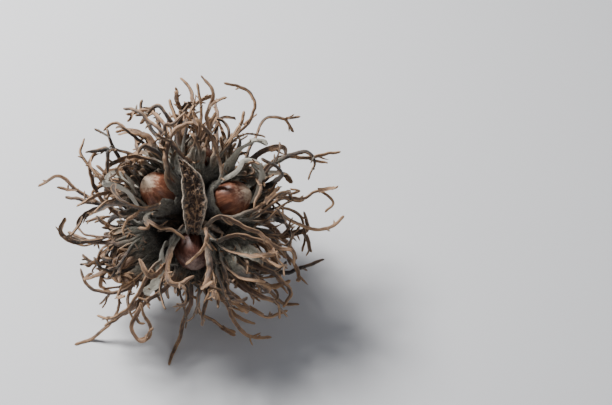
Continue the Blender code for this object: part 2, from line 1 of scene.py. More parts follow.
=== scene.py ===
# Dried head of tree hazelnuts: the fine husks, nuts and stalk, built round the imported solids.
# Lengths are millimetres until a finished mesh is scaled to metres. Places on the head are given in
# its face frame, from the hub: x to the right, y up across the open face, and t out of it.
import json
import math
import random

import bmesh
import bpy
import numpy as np
from mathutils import Matrix, Vector, noise

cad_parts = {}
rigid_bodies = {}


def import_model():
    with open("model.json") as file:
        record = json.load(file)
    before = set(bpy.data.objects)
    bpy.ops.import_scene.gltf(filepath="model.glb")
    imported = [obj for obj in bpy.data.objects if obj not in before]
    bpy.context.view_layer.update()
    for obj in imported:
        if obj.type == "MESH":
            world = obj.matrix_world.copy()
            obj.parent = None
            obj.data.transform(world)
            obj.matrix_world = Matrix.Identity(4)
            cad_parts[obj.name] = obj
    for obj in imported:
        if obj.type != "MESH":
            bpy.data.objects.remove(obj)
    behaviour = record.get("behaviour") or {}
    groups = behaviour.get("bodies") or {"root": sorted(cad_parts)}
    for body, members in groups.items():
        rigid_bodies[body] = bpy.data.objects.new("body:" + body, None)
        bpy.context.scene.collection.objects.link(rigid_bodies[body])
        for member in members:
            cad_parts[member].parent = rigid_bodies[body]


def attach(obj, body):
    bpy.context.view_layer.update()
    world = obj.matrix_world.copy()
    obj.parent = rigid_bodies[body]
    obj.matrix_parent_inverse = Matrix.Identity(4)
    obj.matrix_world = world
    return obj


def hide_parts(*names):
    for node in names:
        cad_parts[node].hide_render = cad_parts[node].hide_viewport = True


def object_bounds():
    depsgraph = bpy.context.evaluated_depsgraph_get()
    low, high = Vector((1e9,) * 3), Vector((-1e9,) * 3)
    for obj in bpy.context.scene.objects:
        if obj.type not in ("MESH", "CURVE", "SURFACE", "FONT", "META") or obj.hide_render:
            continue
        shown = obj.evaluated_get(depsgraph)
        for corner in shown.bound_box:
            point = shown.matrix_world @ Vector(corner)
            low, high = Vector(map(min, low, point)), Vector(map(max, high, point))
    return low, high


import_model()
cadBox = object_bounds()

mm = 0.001
noise.seed_set(7)  # without it noise_vector starts from the clock

head = {
    "hub": Vector((-0.55, 0.1, 38.0)),  # the point that all the husks grow from
    "faceElevation": math.radians(50),
    "gap": 0.3,  # clearance between a nut and its cup
}
faceX = Vector((1, 0, 0))
faceT = Vector((0, -math.cos(head["faceElevation"]), math.sin(head["faceElevation"])))
faceY = faceT.cross(faceX)
hub = head["hub"]

# Each husk's axis in the face frame, how far it stands off the hub, and how many lobes it has.
# An open husk shows its nut: no teeth of the rim lie over it in front.
husks = {
    "husk_1": {"axis": (-0.54, 0.47, 0.70), "lift": 0.7, "lobes": 16, "open": True},
    "husk_2": {"axis": (0.82, 0.31, 0.48), "lift": 1.3, "lobes": 17, "open": True},
    "husk_3": {"axis": (0.12, -0.69, 0.72), "lift": 0.5, "lobes": 16, "open": True},
    "husk_4": {"axis": (0.17, 0.965, 0.20), "lift": 1.3, "lobes": 16},
    "husk_5": {"axis": (-0.80, -0.58, 0.0), "lift": 0.0, "lobes": 16},
    "husk_6": {"axis": (0.80, -0.55, -0.10), "lift": 0.2, "lobes": 16},
    "husk_7": {"axis": (-0.70, 0.30, -0.65), "lift": 0.0, "lobes": 12},
    "husk_8": {"axis": (0.68, 0.27, -0.68), "lift": 0.3, "lobes": 12},
}

# Lobes with a course of their own, as places in the face frame that each one passes.
# A pale one keeps its down all along.
shapedRoutes = {
    "husk_1": [
        {"route": [(-23, 0, 4), (-29, 4, 8), (-33, 10, 10), (-34, 16, 12), (-32, 22, 12), (-28, 24, 10)],
         "width": 1.2},
        {"route": [(-17, 6, 18), (-24, 11, 18), (-31, 15, 17), (-36, 21, 16), (-35, 27, 14)], "width": 0.8},
        {"route": [(-14, -1, 20), (-9, -4, 23), (-4, -5, 23), (0, -8, 22)],
         "fork": (0.42, [(-12, -4, 23), (-16, -4, 22)])},
        {"route": [(-12, 20, 10), (-15, 27, 6), (-20, 30, 6), (-26, 29, 6)]},
        {"route": [(-17, 20, 4), (-20, 28, -2), (-27, 33, -5), (-32, 30, -6)]},
    ],
    "husk_2": [
        {"route": [(12, 14, 17), (11, 21, 19), (8, 31, 22), (8, 35, 24), (10, 42, 25), (6, 48, 24)],
         "fork": (0.72, [(11, 39, 26), (15, 40, 26)])},
        {"route": [(14, 17, 10), (13, 24, 8), (18, 31, 7), (20, 37, 8)], "width": 1.1},
        {"route": [(25, 1, 10), (31, 1, 9), (38, -3, 7), (46, -5, 5), (51, -4, 4), (55, 0, 3)]},
        {"route": [(24, 14, 2), (32, 21, -6), (43, 21, -8), (54, 23, -8)]},
        {"route": [(17, 15, 14), (20, 19, 14), (25, 18, 13), (27, 12, 11)], "width": 1.7, "pale": 0.9},
        {"route": [(30, 7, 2), (40, 6, -4), (46, 9, -5), (51, 5, -5), (48, 1, -5)], "width": 0.8},
        {"route": [(20, 20, 2), (24, 30, -5), (27, 35, -6), (33, 35, -7), (37, 30, -8)]},
    ],
    "husk_3": [
        {"route": [(3, -3, 22), (3.6, 5, 25), (2.8, 12, 26.7), (0.6, 16.5, 27.6), (-1.6, 20, 28)],
         "width": 5.3, "leaf": True},
        {"route": [(8, -3, 22), (13, 0, 25), (21, -4, 25), (27, -7, 25), (32, -11, 24), (37, -12, 22),
                   (38, -17, 21)],
         "fork": (0.18, [(8, -7, 26), (5, -13, 26), (1, -17, 25)])},
        {"route": [(11, -9, 18), (15, -7, 20), (21, -7, 20), (28, -10, 19), (33, -15, 18)]},
        {"route": [(-4, -21, 15), (-10, -27, 18), (-16, -32, 18.5), (-18.5, -38, 18.5), (-16, -43, 19),
                   (-12.5, -41.5, 20), (-12, -37.5, 21), (-14, -34, 22), (-15, -29.5, 22.5)]},
        {"route": [(-12, -19, 17), (-15, -24, 16), (-18, -29, 14), (-22, -33, 13), (-27, -36, 11),
                   (-32, -35, 9)]},
        {"route": [(7, -24, 11), (13, -30, 9), (16, -38, 5), (21, -43, 2), (29, -44, 0)]},
        {"route": [(4, -25, 5), (3, -34, 0), (9, -39, -4), (16, -43, -7)], "width": 0.9},
    ],
    "husk_4": [
        {"route": [(1, 19, 18), (-2, 22, 24), (-7, 28, 25), (-12, 32, 23), (-15, 35, 22), (-22, 37, 18)],
         "fork": (0.55, [(-6, 31, 26), (-3, 31, 26), (1, 35, 26)])},
        {"route": [(4, 25, 15), (5, 30, 20), (6, 38, 24), (5, 45, 26)], "width": 0.9},
        {"route": [(12, 25, 0), (18, 31, -6), (22, 36, -8), (23, 41, -8), (19, 46, -8), (12, 48, -6)]},
        {"route": [(1, 30, -4), (0, 40, -9), (-1, 46, -10), (-5, 50, -11)], "width": 1.3},
        {"route": [(-4, 26, 5), (-5, 34, 4), (-7, 41, 4)], "width": 1.5},
        {"route": [(0, 18, 14), (2, 23, 13), (5, 29, 14), (3, 35, 15)], "width": 1.4},
        {"route": [(9, 18, 13), (10, 23, 13), (8, 29, 12), (10, 36, 12)], "width": 1.4},
    ],
    "husk_5": [
        {"route": [(-30, 3, -1), (-40, 9, 0), (-47, 14, 0), (-54, 10, 1)]},
        {"route": [(-20, -9, 9), (-29, -10, 5), (-37, -9, 2), (-44, -6, 0)]},
        {"route": [(-21, -13, 10), (-26, -16, 9), (-25, -20, 9), (-21, -21, 10)], "width": 1.2},
        {"route": [(-14, -18, 4), (-19, -24, 6), (-28, -28, 5), (-36, -25, 3), (-39, -19, 2)]},
        {"route": [(-9, -16, 2), (-14, -27, 2), (-22, -34, 0), (-31, -40, -2)]},
    ],
    "husk_6": [
        {"route": [(22, -5, 6), (32, 2, 2), (39, 0, -1), (41, -6, -2), (40, -13, -2)], "width": 0.8},
        {"route": [(13, -17, 5), (18, -23, 8), (25, -28, 8), (31, -31, 5), (32, -37, 2)], "width": 1.3},
        {"route": [(10, -16, 1), (13, -25, 3), (20, -32, 4), (28, -36, 2), (35, -34, 0)]},
        {"route": [(17, -14, 6), (24, -18, 8), (32, -22, 6), (36, -28, 3), (33, -33, 1)], "width": 1.2},
        {"route": [(9, -16, -3), (11, -27, -3), (15, -35, -4), (23, -39, -5)]},
    ],
    "husk_7": [],
    "husk_8": [],
}

# Lobes that the head stands on, as places x and y from the hub and z above the surface
footRoutes = {
    "husk_3": [[(0, -25, 19), (-3, -28, 10), (-5, -31, 3), (-7, -34, 0), (-8, -39, 0)]],
    "husk_5": [[(-24, -18, 21), (-27, -24, 11), (-34, -27, 3), (-38, -28, 0), (-43, -30, 0)]],
    "husk_6": [[(23, -11, 18), (28, -12, 9), (32, -12, 2), (34, -12, 0), (39, -12, 0)]],
    "husk_7": [[(-18, 22, 18), (-20, 29, 9), (-22, 34, 2), (-23, 37, 0), (-24, 42, 0)]],
    "husk_8": [[(20, 22, 16), (23, 29, 8), (26, 34, 2), (27, 37, 0), (29, 42, 0)]],
}
lowest = 0.18  # height of a foot lobe's middle where it is pressed flat on the surface

# Places over three nuts that no grown lobe crosses, as a centre in the face frame and a radius
openings = [
    ((-13, 11, 24), 6.5), ((-15, 13, 31), 6.0), ((15, 7, 19), 6.5), ((18, 8, 27), 6.0),
    ((2, -14, 26), 5.5), ((2, -14, 33), 5.0),
]


# Where the lobes run: the same steps and the same seeds as the solids follow

nut = {
    "width": 13.5,
    "length": 15.8,
    "base": 10.0,  # from the hub to the scar
    "flatness": 0.94,
    "balls": (8.0, 10.5, 13.0),  # heights of the balls that keep lobes off its upper half
    "outline": [  # share of the length, share of the half width
        (0.0, 0.0), (0.0, 0.56), (0.07, 0.80), (0.2, 0.96), (0.4, 1.0),
        (0.6, 0.92), (0.77, 0.72), (0.9, 0.40), (0.965, 0.17), (1.0, 0.0),
    ],
}

cup = {
    "wall": 1.25,
    "foot": 4.3,
    "footRadius": 1.9,
    "rim": 15.8,
    "ribs": 4,
    "ribDepth": 0.03,
    "balls": ((7.0, 3.6), (11.0, 6.2), (13.5, 8.0), (14.8, 8.1)),  # height and radius: they keep lobes off it
    "shoulder": 14.2,  # height at which the wall turns in
    "outside": ((7.2, 12.2), (5.2, 9.4), (3.2, 6.6)),  # radius and height, from there to the foot
    "rings": 46,
    "sides": 48,
    "folds": (17, 0.035),  # fine ones: how many, and how deep
    "lumps": 0.05,
    "ragged": 0.9,  # how far the rim goes up and down
}

lobe = {
    "step": 1.2,  # between the points of a route
    "length": (26.0, 36.0),
    "width": 2.1,
    "thickness": 1.0,
    "rootSunk": 2.2,
    "forked": 0.7,  # share of the lobes that fork
    "clearOthers": 1.15,  # to a lobe of another husk
    "clearOwn": 0.35,  # to a lobe of the same husk
    "reach": (38.0, 50.0),  # how far from the hub a lobe may grow
    "socket": 6.0,  # round its own root a lobe may meet its neighbours
    "outward": (0.25, 1.0),  # how far a grown lobe leans away from the nut
    "swing": (-60, 60),  # degrees that its bend is turned off its width
    "widths": (0.85, 1.3),  # of grown lobes, beside the width above
    "footWidth": 1.1,
    "forkWidth": 0.75,  # of traced forks
    "shortest": 8,  # points that a grown lobe has at least
}

fork = {
    "places": (0.5, 0.62, 0.74, 0.86),  # share of the lobe at which it leaves
    "lean": (0.6, 1.2),
    "length": (5, 9),
    "width": (0.6, 0.8),
    "shortest": 4,  # points
    "widest": 1.6,  # lobes broader than this grow none
}

strap = {
    "sides": 12,
    "gap": 0.55,  # between sections
    "trough": 0.55,  # how far the edges stand up, as a share of the half width
    "troughs": (0.3, 1.2),  # and how that varies
    "thin": 0.70,  # thickness, as a share of the solids'
    "twist": 150,  # the most that a lobe turns about itself, in degrees
    "ragged": 0.30,  # of the width, at the margins
    "ridge": 0.09,  # height of the midrib and the thickened margins
    "lumps": 0.25,  # of the thickness
    "tip": 2.4,  # length of a tip that may be swollen
    "blunt": (0.8, 1.4),  # and how wide it may be
    "round": 0.6,  # length of a lobe's rounded end
    "kinks": ((0.17, 0.75), (0.42, 0.22)),  # waves in a mm, and how far each moves the line
    "taper": ((0, 0.12, 0.35, 0.75, 0.93, 1), (1.7, 1.50, 1.25, 0.98, 0.78, 0.50)),
    "slim": ((0, 0.12, 0.35, 0.75, 0.93, 1), (1.15, 1.22, 1.15, 0.98, 0.78, 0.50)),  # of the pale front ones
    "flare": (0.40, 5.5),  # how much wider at the root, and over what length
    "section": 0.813,  # half width of the solids' section, as a share of the width that is named
    "worn": 0.55,  # the lobes in front are made paler: partly wear, partly painted highlight where the light falls on them
    "wornShape": (0.82, 1.45),  # and rounder: their width and thickness beside the others'
}

stalk = {
    "axis": (0.0, -0.75, -0.66),
    "length": 24.0,
    "radius": 1.9,
    "knob": 3.7,
    "bractOutline": [(0, 2.0), (1.1, 2.6), (1.3, 8.0), (1.5, 12.0), (0.7, 16.0), (0, 17.5)],
    "scales": 90,  # tried round the knob: those that meet no cup are made
    "scaleOutline": [(0, 2.0), (1.3, 2.6), (1.7, 5.0), (1.1, 8.0), (0, 10.0)],
    "scaleClear": 0.80,  # cosine of the least angle to a cup's axis
    "swells": ((1, 7.0), (0.9, 14.0), (1.1, 20.0)),  # width beside the radius, and distance from the hub
    "rough": 0.07,  # how far the bark swells, as a share
    "rings": 60,
    "sides": 40,
    "bractRings": 26,
    "bractSides": 16,
    "bracts": [
        (-0.59, -0.32, 0.74), (0.74, -0.38, 0.56), (0.17, 0.12, 0.98), (-0.98, 0.18, 0.10),
        (-0.59, 0.81, -0.03), (0.0, 0.79, -0.61), (0.72, 0.69, -0.13),
    ],
}


def faceDirection(place):
    return faceX * place[0] + faceY * place[1] + faceT * place[2]


def facePlace(place):
    return hub + faceDirection(place)


def pointing(place, out):  # the frame at a place whose +Z points out
    return Matrix.Translation(place) @ out.to_track_quat("Z", "Y").to_matrix().to_4x4()


def around(angle, radius=1, height=0):  # a place round Z
    return Vector((math.cos(angle) * radius, math.sin(angle) * radius, height))


def anywhere(rng, size):  # where in the noise a piece starts
    return Vector([rng.random() for _ in range(3)]) * size


def huskMatrix(axis, lift):  # origin at the hub, raised by lift, and +Z out through the nut
    out = faceDirection(axis).normalized()
    return pointing(hub + out * lift, out)


def nutRadius(height):
    shares, widths = zip(*nut["outline"][1:])
    return float(np.interp(height / nut["length"], shares, widths)) * nut["width"] / 2


class Tangle:  # what already fills the space round the hub, as balls that each belong to a husk
    def __init__(self):
        self.places = np.zeros((0, 3))
        self.radii = np.zeros(0)
        self.owners = np.zeros(0, int)
        self.kinds = np.zeros(0, "U4")
        self.clearOwn = lobe["clearOwn"]
        self.clearOthers = lobe["clearOthers"]

    def add(self, places, radius, owner, kind="lobe"):
        self.places = np.vstack([self.places, np.array([tuple(p) for p in places])])
        self.radii = np.append(self.radii, [radius] * len(places))
        self.owners = np.append(self.owners, [owner] * len(places))
        self.kinds = np.append(self.kinds, [kind] * len(places))

    def depths(self, place, radius, owner, root):  # how far a ball at place reaches into each one there
        own = self.owners == owner
        spare = np.where(own, self.clearOwn, self.clearOthers)
        found = self.radii + radius + spare - np.linalg.norm(self.places - np.array(tuple(place)), axis=1)
        if (place - root).length < lobe["socket"]:
            found[own & (self.kinds == "cup")] = -1
        nearRoot = np.linalg.norm(self.places - np.array(tuple(root)), axis=1) < lobe["socket"]
        found[own & nearRoot & (self.kinds == "lobe")] = -1
        return found

    def worst(self, place, radius, owner, root):
        return float(self.depths(place, radius, owner, root).max())

    def push(self, place, radius, owner, root):
        found = self.depths(place, radius, owner, root)
        shift = Vector((0, 0, 0))
        for index in np.nonzero(found > 0)[0]:
            apart = place - Vector(self.places[index])
            if apart.length > 1e-6:
                shift += apart.normalized() * float(found[index])
        return shift


def fillWithBodies(tangle, huskFrames):
    for owner, huskFrame in enumerate(huskFrames.values()):
        for height, radius in cup["balls"]:
            tangle.add([huskFrame @ Vector((0, 0, height))], radius, owner, "cup")
        for height in nut["balls"]:
            place = huskFrame @ Vector((0, 0, nut["base"] + height))
            tangle.add([place], nutRadius(height) * 0.97, owner, "nut")
    down = faceDirection(stalk["axis"]).normalized()
    along = [hub + down * distance for distance in np.arange(0, stalk["length"] + 2, 2.0)]
    tangle.add(along, stalk["radius"] + 0.6, -1)
    for place in stalk["bracts"]:
        out = faceDirection(place).normalized()
        tangle.add([hub + out * 12.0, hub + out * 15.5], 1.3, -1)


def resample(points, step):
    lengths = np.cumsum([0] + [(b - a).length for a, b in zip(points, points[1:])])
    count = max(3, round(lengths[-1] / step) + 1)
    wanted = np.linspace(0, lengths[-1], count)
    table = np.array([tuple(p) for p in points])
    return [Vector([np.interp(w, lengths, table[:, k]) for k in range(3)]) for w in wanted]


def smoothRoute(places, step=None):
    ends = [places[0] * 2 - places[1], *places, places[-1] * 2 - places[-2]]
    dense = []
    for a, b, c, d in zip(ends, ends[1:], ends[2:], ends[3:]):
        for k in range(12):
            s = k / 12
            bend = (2 * a - 5 * b + 4 * c - d) * s**2 + (3 * b - a - 3 * c + d) * s**3
            dense.append((2 * b + (c - a) * s + bend) / 2)
    dense.append(places[-1])
    return resample(dense, step or lobe["step"])


def bendClear(points, radius, tangle, owner, fixed):  # moves a route off whatever it would run into
    points = list(points)
    floorHeight = radius + 0.5
    for _ in range(30):
        moved = False
        for i in range(fixed, len(points)):
            shift = tangle.push(points[i], radius, owner, points[0])
            if shift.length > 0.02:
                points[i] = points[i] + shift * 0.6
                moved = True
            if points[i].z < floorHeight:
                points[i] = Vector((points[i].x, points[i].y, floorHeight))
        for i in range(fixed, len(points) - 1):
            middle = (points[i - 1] + points[i + 1]) / 2
            points[i] = points[i].lerp(middle, 0.15)
        if not moved:
            break
    return points


swings = [  # how far round the bend may swing, in degrees, and how much tighter it may turn
    (0, 1), (40, 1), (-40, 1), (80, 1.5), (-80, 1.5), (120, 2), (-120, 2), (180, 2),
    (0, 4), (60, 4), (-60, 4), (120, 4), (-120, 4), (180, 4),
]


growth = {
    "curl": (12.0, 34.0),  # radius of a lobe's bend
    "twist": (-9, 9),  # degrees that the bend turns at each step
    "hook": (0.55, 0.85),  # share of the length after which it bends tighter
    "tightness": (2.0, 3.6),  # and how much tighter
    "crowded": 24,  # this near the hub a lobe is led outwards
}


def grow(rng, start, heading, bendAxis, length, radius, tangle, owner, root, reach):
    points = [start]
    curl = rng.uniform(*growth["curl"])
    twist = math.radians(rng.uniform(*growth["twist"]))
    hook = rng.uniform(*growth["hook"])
    tightness = rng.uniform(*growth["tightness"])
    step = lobe["step"]
    steps = round(length / step)
    for count in range(steps):
        place = points[-1]
        out = (place - hub).normalized()
        turn = step / curl * (tightness if count > hook * steps else 1)
        bendAxis = Matrix.Rotation(twist, 3, heading) @ bendAxis
        near = (place - hub).length < growth["crowded"]
        best, bestDepth = None, 0.0
        for swing, share in swings:
            axis = Matrix.Rotation(math.radians(swing), 3, heading) @ bendAxis
            to = Matrix.Rotation(turn * share, 3, axis) @ heading
            if near:
                to = (to + out * 0.12).normalized()
            if (place + to * step - hub).length > reach:
                to = (to - out * 0.45).normalized()
            ahead = place + to * step
            low = radius + 0.6
            if (ahead + to * 2 * step).z < low:
                to = Vector((to.x, to.y, abs(to.z) * 0.5 + 0.1)).normalized()
                ahead = place + to * step
            depth = max(
                tangle.worst(ahead, radius, owner, root),
                tangle.worst(ahead + to * step, radius, owner, root) - 0.3,
                low - ahead.z,
            )
            if best is None or depth < bestDepth:
                best, bestDepth = to, depth
            if depth <= 0:
                break
        if bestDepth > 0:
            break
        heading = best
        bendAxis = (bendAxis - heading * bendAxis.dot(heading)).normalized()
        points.append(place + heading * step)
    return points


# A lobe's root inside the wall, the rim above it, and the direction of its width
def rimRoot(huskFrame, azimuth):
    radial = around(azimuth)
    across = huskFrame.to_3x3() @ Vector((-radial.y, radial.x, 0))
    middle = nut["width"] / 2 + head["gap"] + cup["wall"] / 2
    start = huskFrame @ (radial * middle + Vector((0, 0, cup["rim"] - lobe["rootSunk"])))
    rim = huskFrame @ (radial * middle + Vector((0, 0, cup["rim"] + 0.4)))
    return start, rim, across


def azimuthOf(huskFrame, place):
    local = huskFrame.inverted() @ place
    return math.atan2(local.y, local.x)


def lobeRadius(width):
    return lobe["thickness"] / 2 + max(width - 1, 0) * 0.35 * lobe["width"] / 2


plainLobe = {
    "fork": False, "foot": False, "leaf": False, "pale": 0.0, "worn": 0.0, "taper": strap["taper"],
    "parent": None,  # the lobe that it leaves, whose tone it takes
}


def addLobe(lobes, tangle, owner, points, width, across, **facts):
    tangle.add(points, lobeRadius(width), owner)
    found = {"points": points, "width": width, "across": across}
    lobes.append({**plainLobe, **found, **facts})


def shapedLobes(huskFrame, name, owner, tangle):
    lobes, taken = [], []
    for feet in footRoutes.get(name, []):
        places = [Vector((hub.x + x, hub.y + y, max(z, lowest))) for x, y, z in feet]
        azimuth = azimuthOf(huskFrame, places[0])
        start, rim, across = rimRoot(huskFrame, azimuth)
        taken.append(azimuth)
        points = [Vector((p.x, p.y, max(p.z, lowest))) for p in smoothRoute([start, rim, *places])]
        addLobe(lobes, tangle, owner, points, lobe["footWidth"], across, foot=True, worn=strap["worn"])
    for shaped in shapedRoutes[name]:
        places = [facePlace(p) for p in shaped["route"]]
        width = shaped.get("width", 1.0)
        azimuth = azimuthOf(huskFrame, places[0])
        start, rim, across = rimRoot(huskFrame, azimuth)
        taken.append(azimuth)
        points = bendClear(smoothRoute([start, rim, *places]), lobeRadius(width), tangle, owner, 4)
        look = {"worn": strap["worn"], "taper": strap["slim"], "pale": shaped.get("pale", 0.0)}
        addLobe(lobes, tangle, owner, points, width, across, leaf=shaped.get("leaf", False), **look)
        if "fork" in shaped:
            share, tips = shaped["fork"]
            first = points[round(share * (len(points) - 1))]
            route = smoothRoute([first, *[facePlace(p) for p in tips]])
            look = {"worn": strap["worn"], "fork": True, "parent": lobes[-1]}
            addLobe(lobes, tangle, owner, route, lobe["forkWidth"], across, **look)
    return lobes, taken


def grownLobes(huskFrame, count, owner, tangle, taken, rng):
    lobes = []
    for slot in range(count):
        azimuth = 2 * math.pi * (slot + rng.uniform(-0.2, 0.2)) / count
        nearest = min([abs((azimuth - t + math.pi) % (2 * math.pi) - math.pi) for t in taken], default=9)
        if nearest < 0.55 * 2 * math.pi / count:
            continue
        start, rim, across = rimRoot(huskFrame, azimuth)
        heading = (rim - start).normalized()
        reach = rng.uniform(*lobe["reach"])
        length = rng.uniform(*lobe["length"])
        outward = rng.uniform(*lobe["outward"])
        radial = across.cross(heading)
        lean = (heading + radial * 0.5 * outward).normalized()
        swing = rng.uniform(*lobe["swing"])
        bendAxis = Matrix.Rotation(math.radians(swing), 3, lean) @ (-across)
        bendAxis *= 1 if rng.random() < 0.8 else -1
        bendAxis = (bendAxis - lean * bendAxis.dot(lean)).normalized()
        radius = lobe["thickness"] / 2 + 0.1
        grown = grow(rng, rim, lean, bendAxis, length, radius, tangle, owner, start, reach)
        points = resample([start, *grown], lobe["step"])
        if len(grown) < lobe["shortest"]:
            continue
        addLobe(lobes, tangle, owner, points, rng.uniform(*lobe["widths"]), across)
    return lobes


def grownForks(lobes, owner, tangle, rng):
    forks = []
    for parent in lobes:
        if parent["fork"] or parent["foot"] or parent["width"] > fork["widest"]:
            continue
        share = rng.choice(fork["places"])
        points = parent["points"]
        at = round(share * (len(points) - 1))
        along = (points[at] - points[at - 1]).normalized()
        roundIt = Matrix.Rotation(math.radians(rng.uniform(0, 360)), 3, along)
        aside = roundIt @ along.orthogonal().normalized()
        heading = (along + aside * rng.uniform(*fork["lean"])).normalized()
        axis = heading.cross(along).normalized()
        start = points[at]
        length = rng.uniform(*fork["length"])
        grown = grow(rng, start, heading, axis, length, 0.5, tangle, owner, start, lobe["reach"][1] + 4)
        if len(grown) >= fork["shortest"] and rng.random() < lobe["forked"]:
            addLobe(forks, tangle, owner, grown, rng.uniform(*fork["width"]), axis, fork=True, parent=parent)
    return forks


# Fine lobes, which the solids leave out: spread ones below the cups, broad short ones and thin ones.
# Each kind has its number on a husk, and how far it leans away from the nut.
fineLobe = {
    "spread": {"count": 16, "length": (8, 18), "width": (0.7, 1.3), "radius": 0.4, "lean": (0.9, 1.8)},
    "broad": {"count": 7, "length": (8, 16), "width": (1.2, 1.8), "radius": 0.5, "lean": (-0.1, 0.5)},
    "thin": {"count": 42, "length": (10, 30), "width": (0.50, 0.85), "radius": 0.3, "lean": (-0.1, 0.6)},
    "more": {"husk_3": 5, "husk_5": 9, "husk_6": 9},  # the lower husks are the most tangled
    "clearOwn": -0.15,  # they may cross lobes of their own husk
    "clearOthers": 0.15,
    "reach": 42.0,
    "shortest": 5,  # points
    "openings": [  # more places that none of them crosses
        ((-10, 10, 24), 7.5), ((-12, 12, 32), 9.0), ((15, 7, 22), 9.0), ((18, 7, 30), 10.0),
        ((2, -14, 22), 8.5), ((2, -15, 30), 9.5),
    ],
    "front": -0.1,  # on an open husk, no root faces the viewer by more than this
}

# Fine lobes with a course of their own, in the face frame
fineRoutes = {
    "husk_1": [
        {"route": [(-7, 15, 8.5), (-10, 21, 8), (-14.5, 27.5, 8), (-20, 29, 8), (-25, 28.5, 8)],
         "width": 1.3},
        {"route": [(-17, 4, 14), (-20, 8, 20), (-24, 10, 23), (-28, 11, 22)], "width": 2.6, "pale": 1.0},
        {"route": [(-18, 9, 15), (-21, 13, 20), (-25, 14, 22), (-27, 12, 23)], "width": 1.5, "pale": 0.9},
        {"route": [(-8, 16, 8), (-12, 21, 11), (-17, 22, 12), (-21, 19, 12)], "width": 2.0},
    ],
    "husk_2": [
        {"route": [(24, 14, 0), (30, 19, -4), (36, 21.5, -5), (42, 22.5, -5), (44.5, 18, -5), (42, 12.5, -5)],
         "width": 0.9},
        {"route": [(14, 16, 8), (18, 22, 10), (23, 26, 9), (28, 25, 6)], "width": 2.2, "pale": 0.5},
        {"route": [(23, 6, 8), (25, 10, 11), (25, 15, 12), (22, 18, 12)], "width": 1.8, "pale": 1.0},
        {"route": [(20, 12, 6), (27, 15, 7), (33, 15, 4), (37, 11, 2)], "width": 2.0},
    ],
    "husk_3": [
        {"route": [(-8, -18, 6), (-11, -24, 10), (-15, -28, 11)], "width": 1.8, "pale": 0.8},
        {"route": [(-6, -18, 10), (-8.5, -15.5, 14), (-8.5, -11.5, 16), (-6.5, -9, 16)],
         "width": 1.7, "pale": 0.7},
        {"route": [(9, -18, 6), (12, -25, 10), (17, -31, 12), (22, -33, 10)], "width": 2.2},
    ],
    "husk_4": [
        {"route": [(-4.5, 18, -1), (-9, 25, -5), (-15, 32, -8), (-18, 38, -8), (-18, 42, -8)], "width": 1.1},
    ],
    "husk_5": [
        {"route": [(-18, -4, 3), (-27, 2, 2), (-36, 5, 1), (-45, 6.5, 0)], "width": 0.9},
        {"route": [(-12, -14, 6), (-17, -20, 10), (-23, -22, 11), (-28, -19, 10)], "width": 2.0},
    ],
    "husk_6": [
        {"route": [(18, -13, 0), (27, -19, -3), (35, -21, -5), (41, -18.5, -5), (48, -16, -5)], "width": 0.9},
        {"route": [(12, -15, 6), (17, -20, 11), (24, -23, 13), (29, -27, 12)], "width": 2.4},
        {"route": [(17, -11, 6), (24, -14, 11), (30, -18, 12), (35, -17, 10)], "width": 2.0},
    ],
}


def tracedLobes(name, owner, tangle):
    lobes = []
    for shaped in fineRoutes.get(name, []):
        route = smoothRoute([facePlace(p) for p in shaped["route"]])
        points = bendClear(route, 0.3, tangle, owner, 2)
        across = (points[1] - points[0]).cross(points[0] - hub).normalized()
        addLobe(lobes, tangle, owner, points, shaped["width"], across, pale=shaped.get("pale", 0.0))
    return lobes


def fineLobes(kind, name, huskFrame, owner, tangle, rng):
    lobes = []
    facts = fineLobe[kind]
    count = facts["count"] + fineLobe["more"].get(name, 0)
    for slot in range(count):
        azimuth = 2 * math.pi * (slot + rng.uniform(-0.4, 0.4)) / count
        start, rim, across = rimRoot(huskFrame, azimuth)
        heading = (rim - start).normalized()
        radial = across.cross(heading)
        if (husks[name].get("open") or kind == "spread") and radial.dot(faceT) > fineLobe["front"]:
            continue
        lean = heading + radial * rng.uniform(*facts["lean"]) + across * rng.uniform(-0.6, 0.6)
        lean.normalize()
        bendAxis = Matrix.Rotation(math.radians(rng.uniform(-90, 90)), 3, lean) @ (-across)
        length = rng.uniform(*facts["length"])
        radius, reach = facts["radius"], fineLobe["reach"]
        grown = grow(rng, rim, lean, bendAxis, length, radius, tangle, owner, start, reach)
        if len(grown) >= fineLobe["shortest"]:
            points = resample([start, *grown], lobe["step"])
            addLobe(lobes, tangle, owner, points, rng.uniform(*facts["width"]), across)
    return lobes


def allLobes(huskFrames, tangle):
    fillWithBodies(tangle, huskFrames)
    found, taken = {}, {}
    for owner, (name, huskFrame) in enumerate(huskFrames.items()):
        found[name], taken[name] = shapedLobes(huskFrame, name, owner, tangle)
    for place, radius in openings:
        tangle.add([facePlace(place)], radius, -1)
    for owner, (name, huskFrame) in enumerate(huskFrames.items()):
        rng = random.Random(name)
        found[name] += grownLobes(huskFrame, husks[name]["lobes"], owner, tangle, taken[name], rng)
    for owner, name in enumerate(huskFrames):
        rng = random.Random(name + " forks")
        found[name] += grownForks(found[name], owner, tangle, rng)
    tangle.clearOwn, tangle.clearOthers = fineLobe["clearOwn"], fineLobe["clearOthers"]
    for place, radius in fineLobe["openings"]:
        tangle.add([facePlace(place)], radius, -1)
    for owner, name in enumerate(huskFrames):
        found[name] += tracedLobes(name, owner, tangle)
    for owner, (name, huskFrame) in enumerate(huskFrames.items()):
        rng = random.Random(name + " fine")
        for kind in ("spread", "broad", "thin"):
            found[name] += fineLobes(kind, name, huskFrame, owner, tangle, rng)
    return found


huskFrames = {name: huskMatrix(facts["axis"], facts["lift"]) for name, facts in husks.items()}
tangle = Tangle()
lobesOf = allLobes(huskFrames, tangle)
print("lobes laid out:", {name: len(lobes) for name, lobes in lobesOf.items()})


# Materials

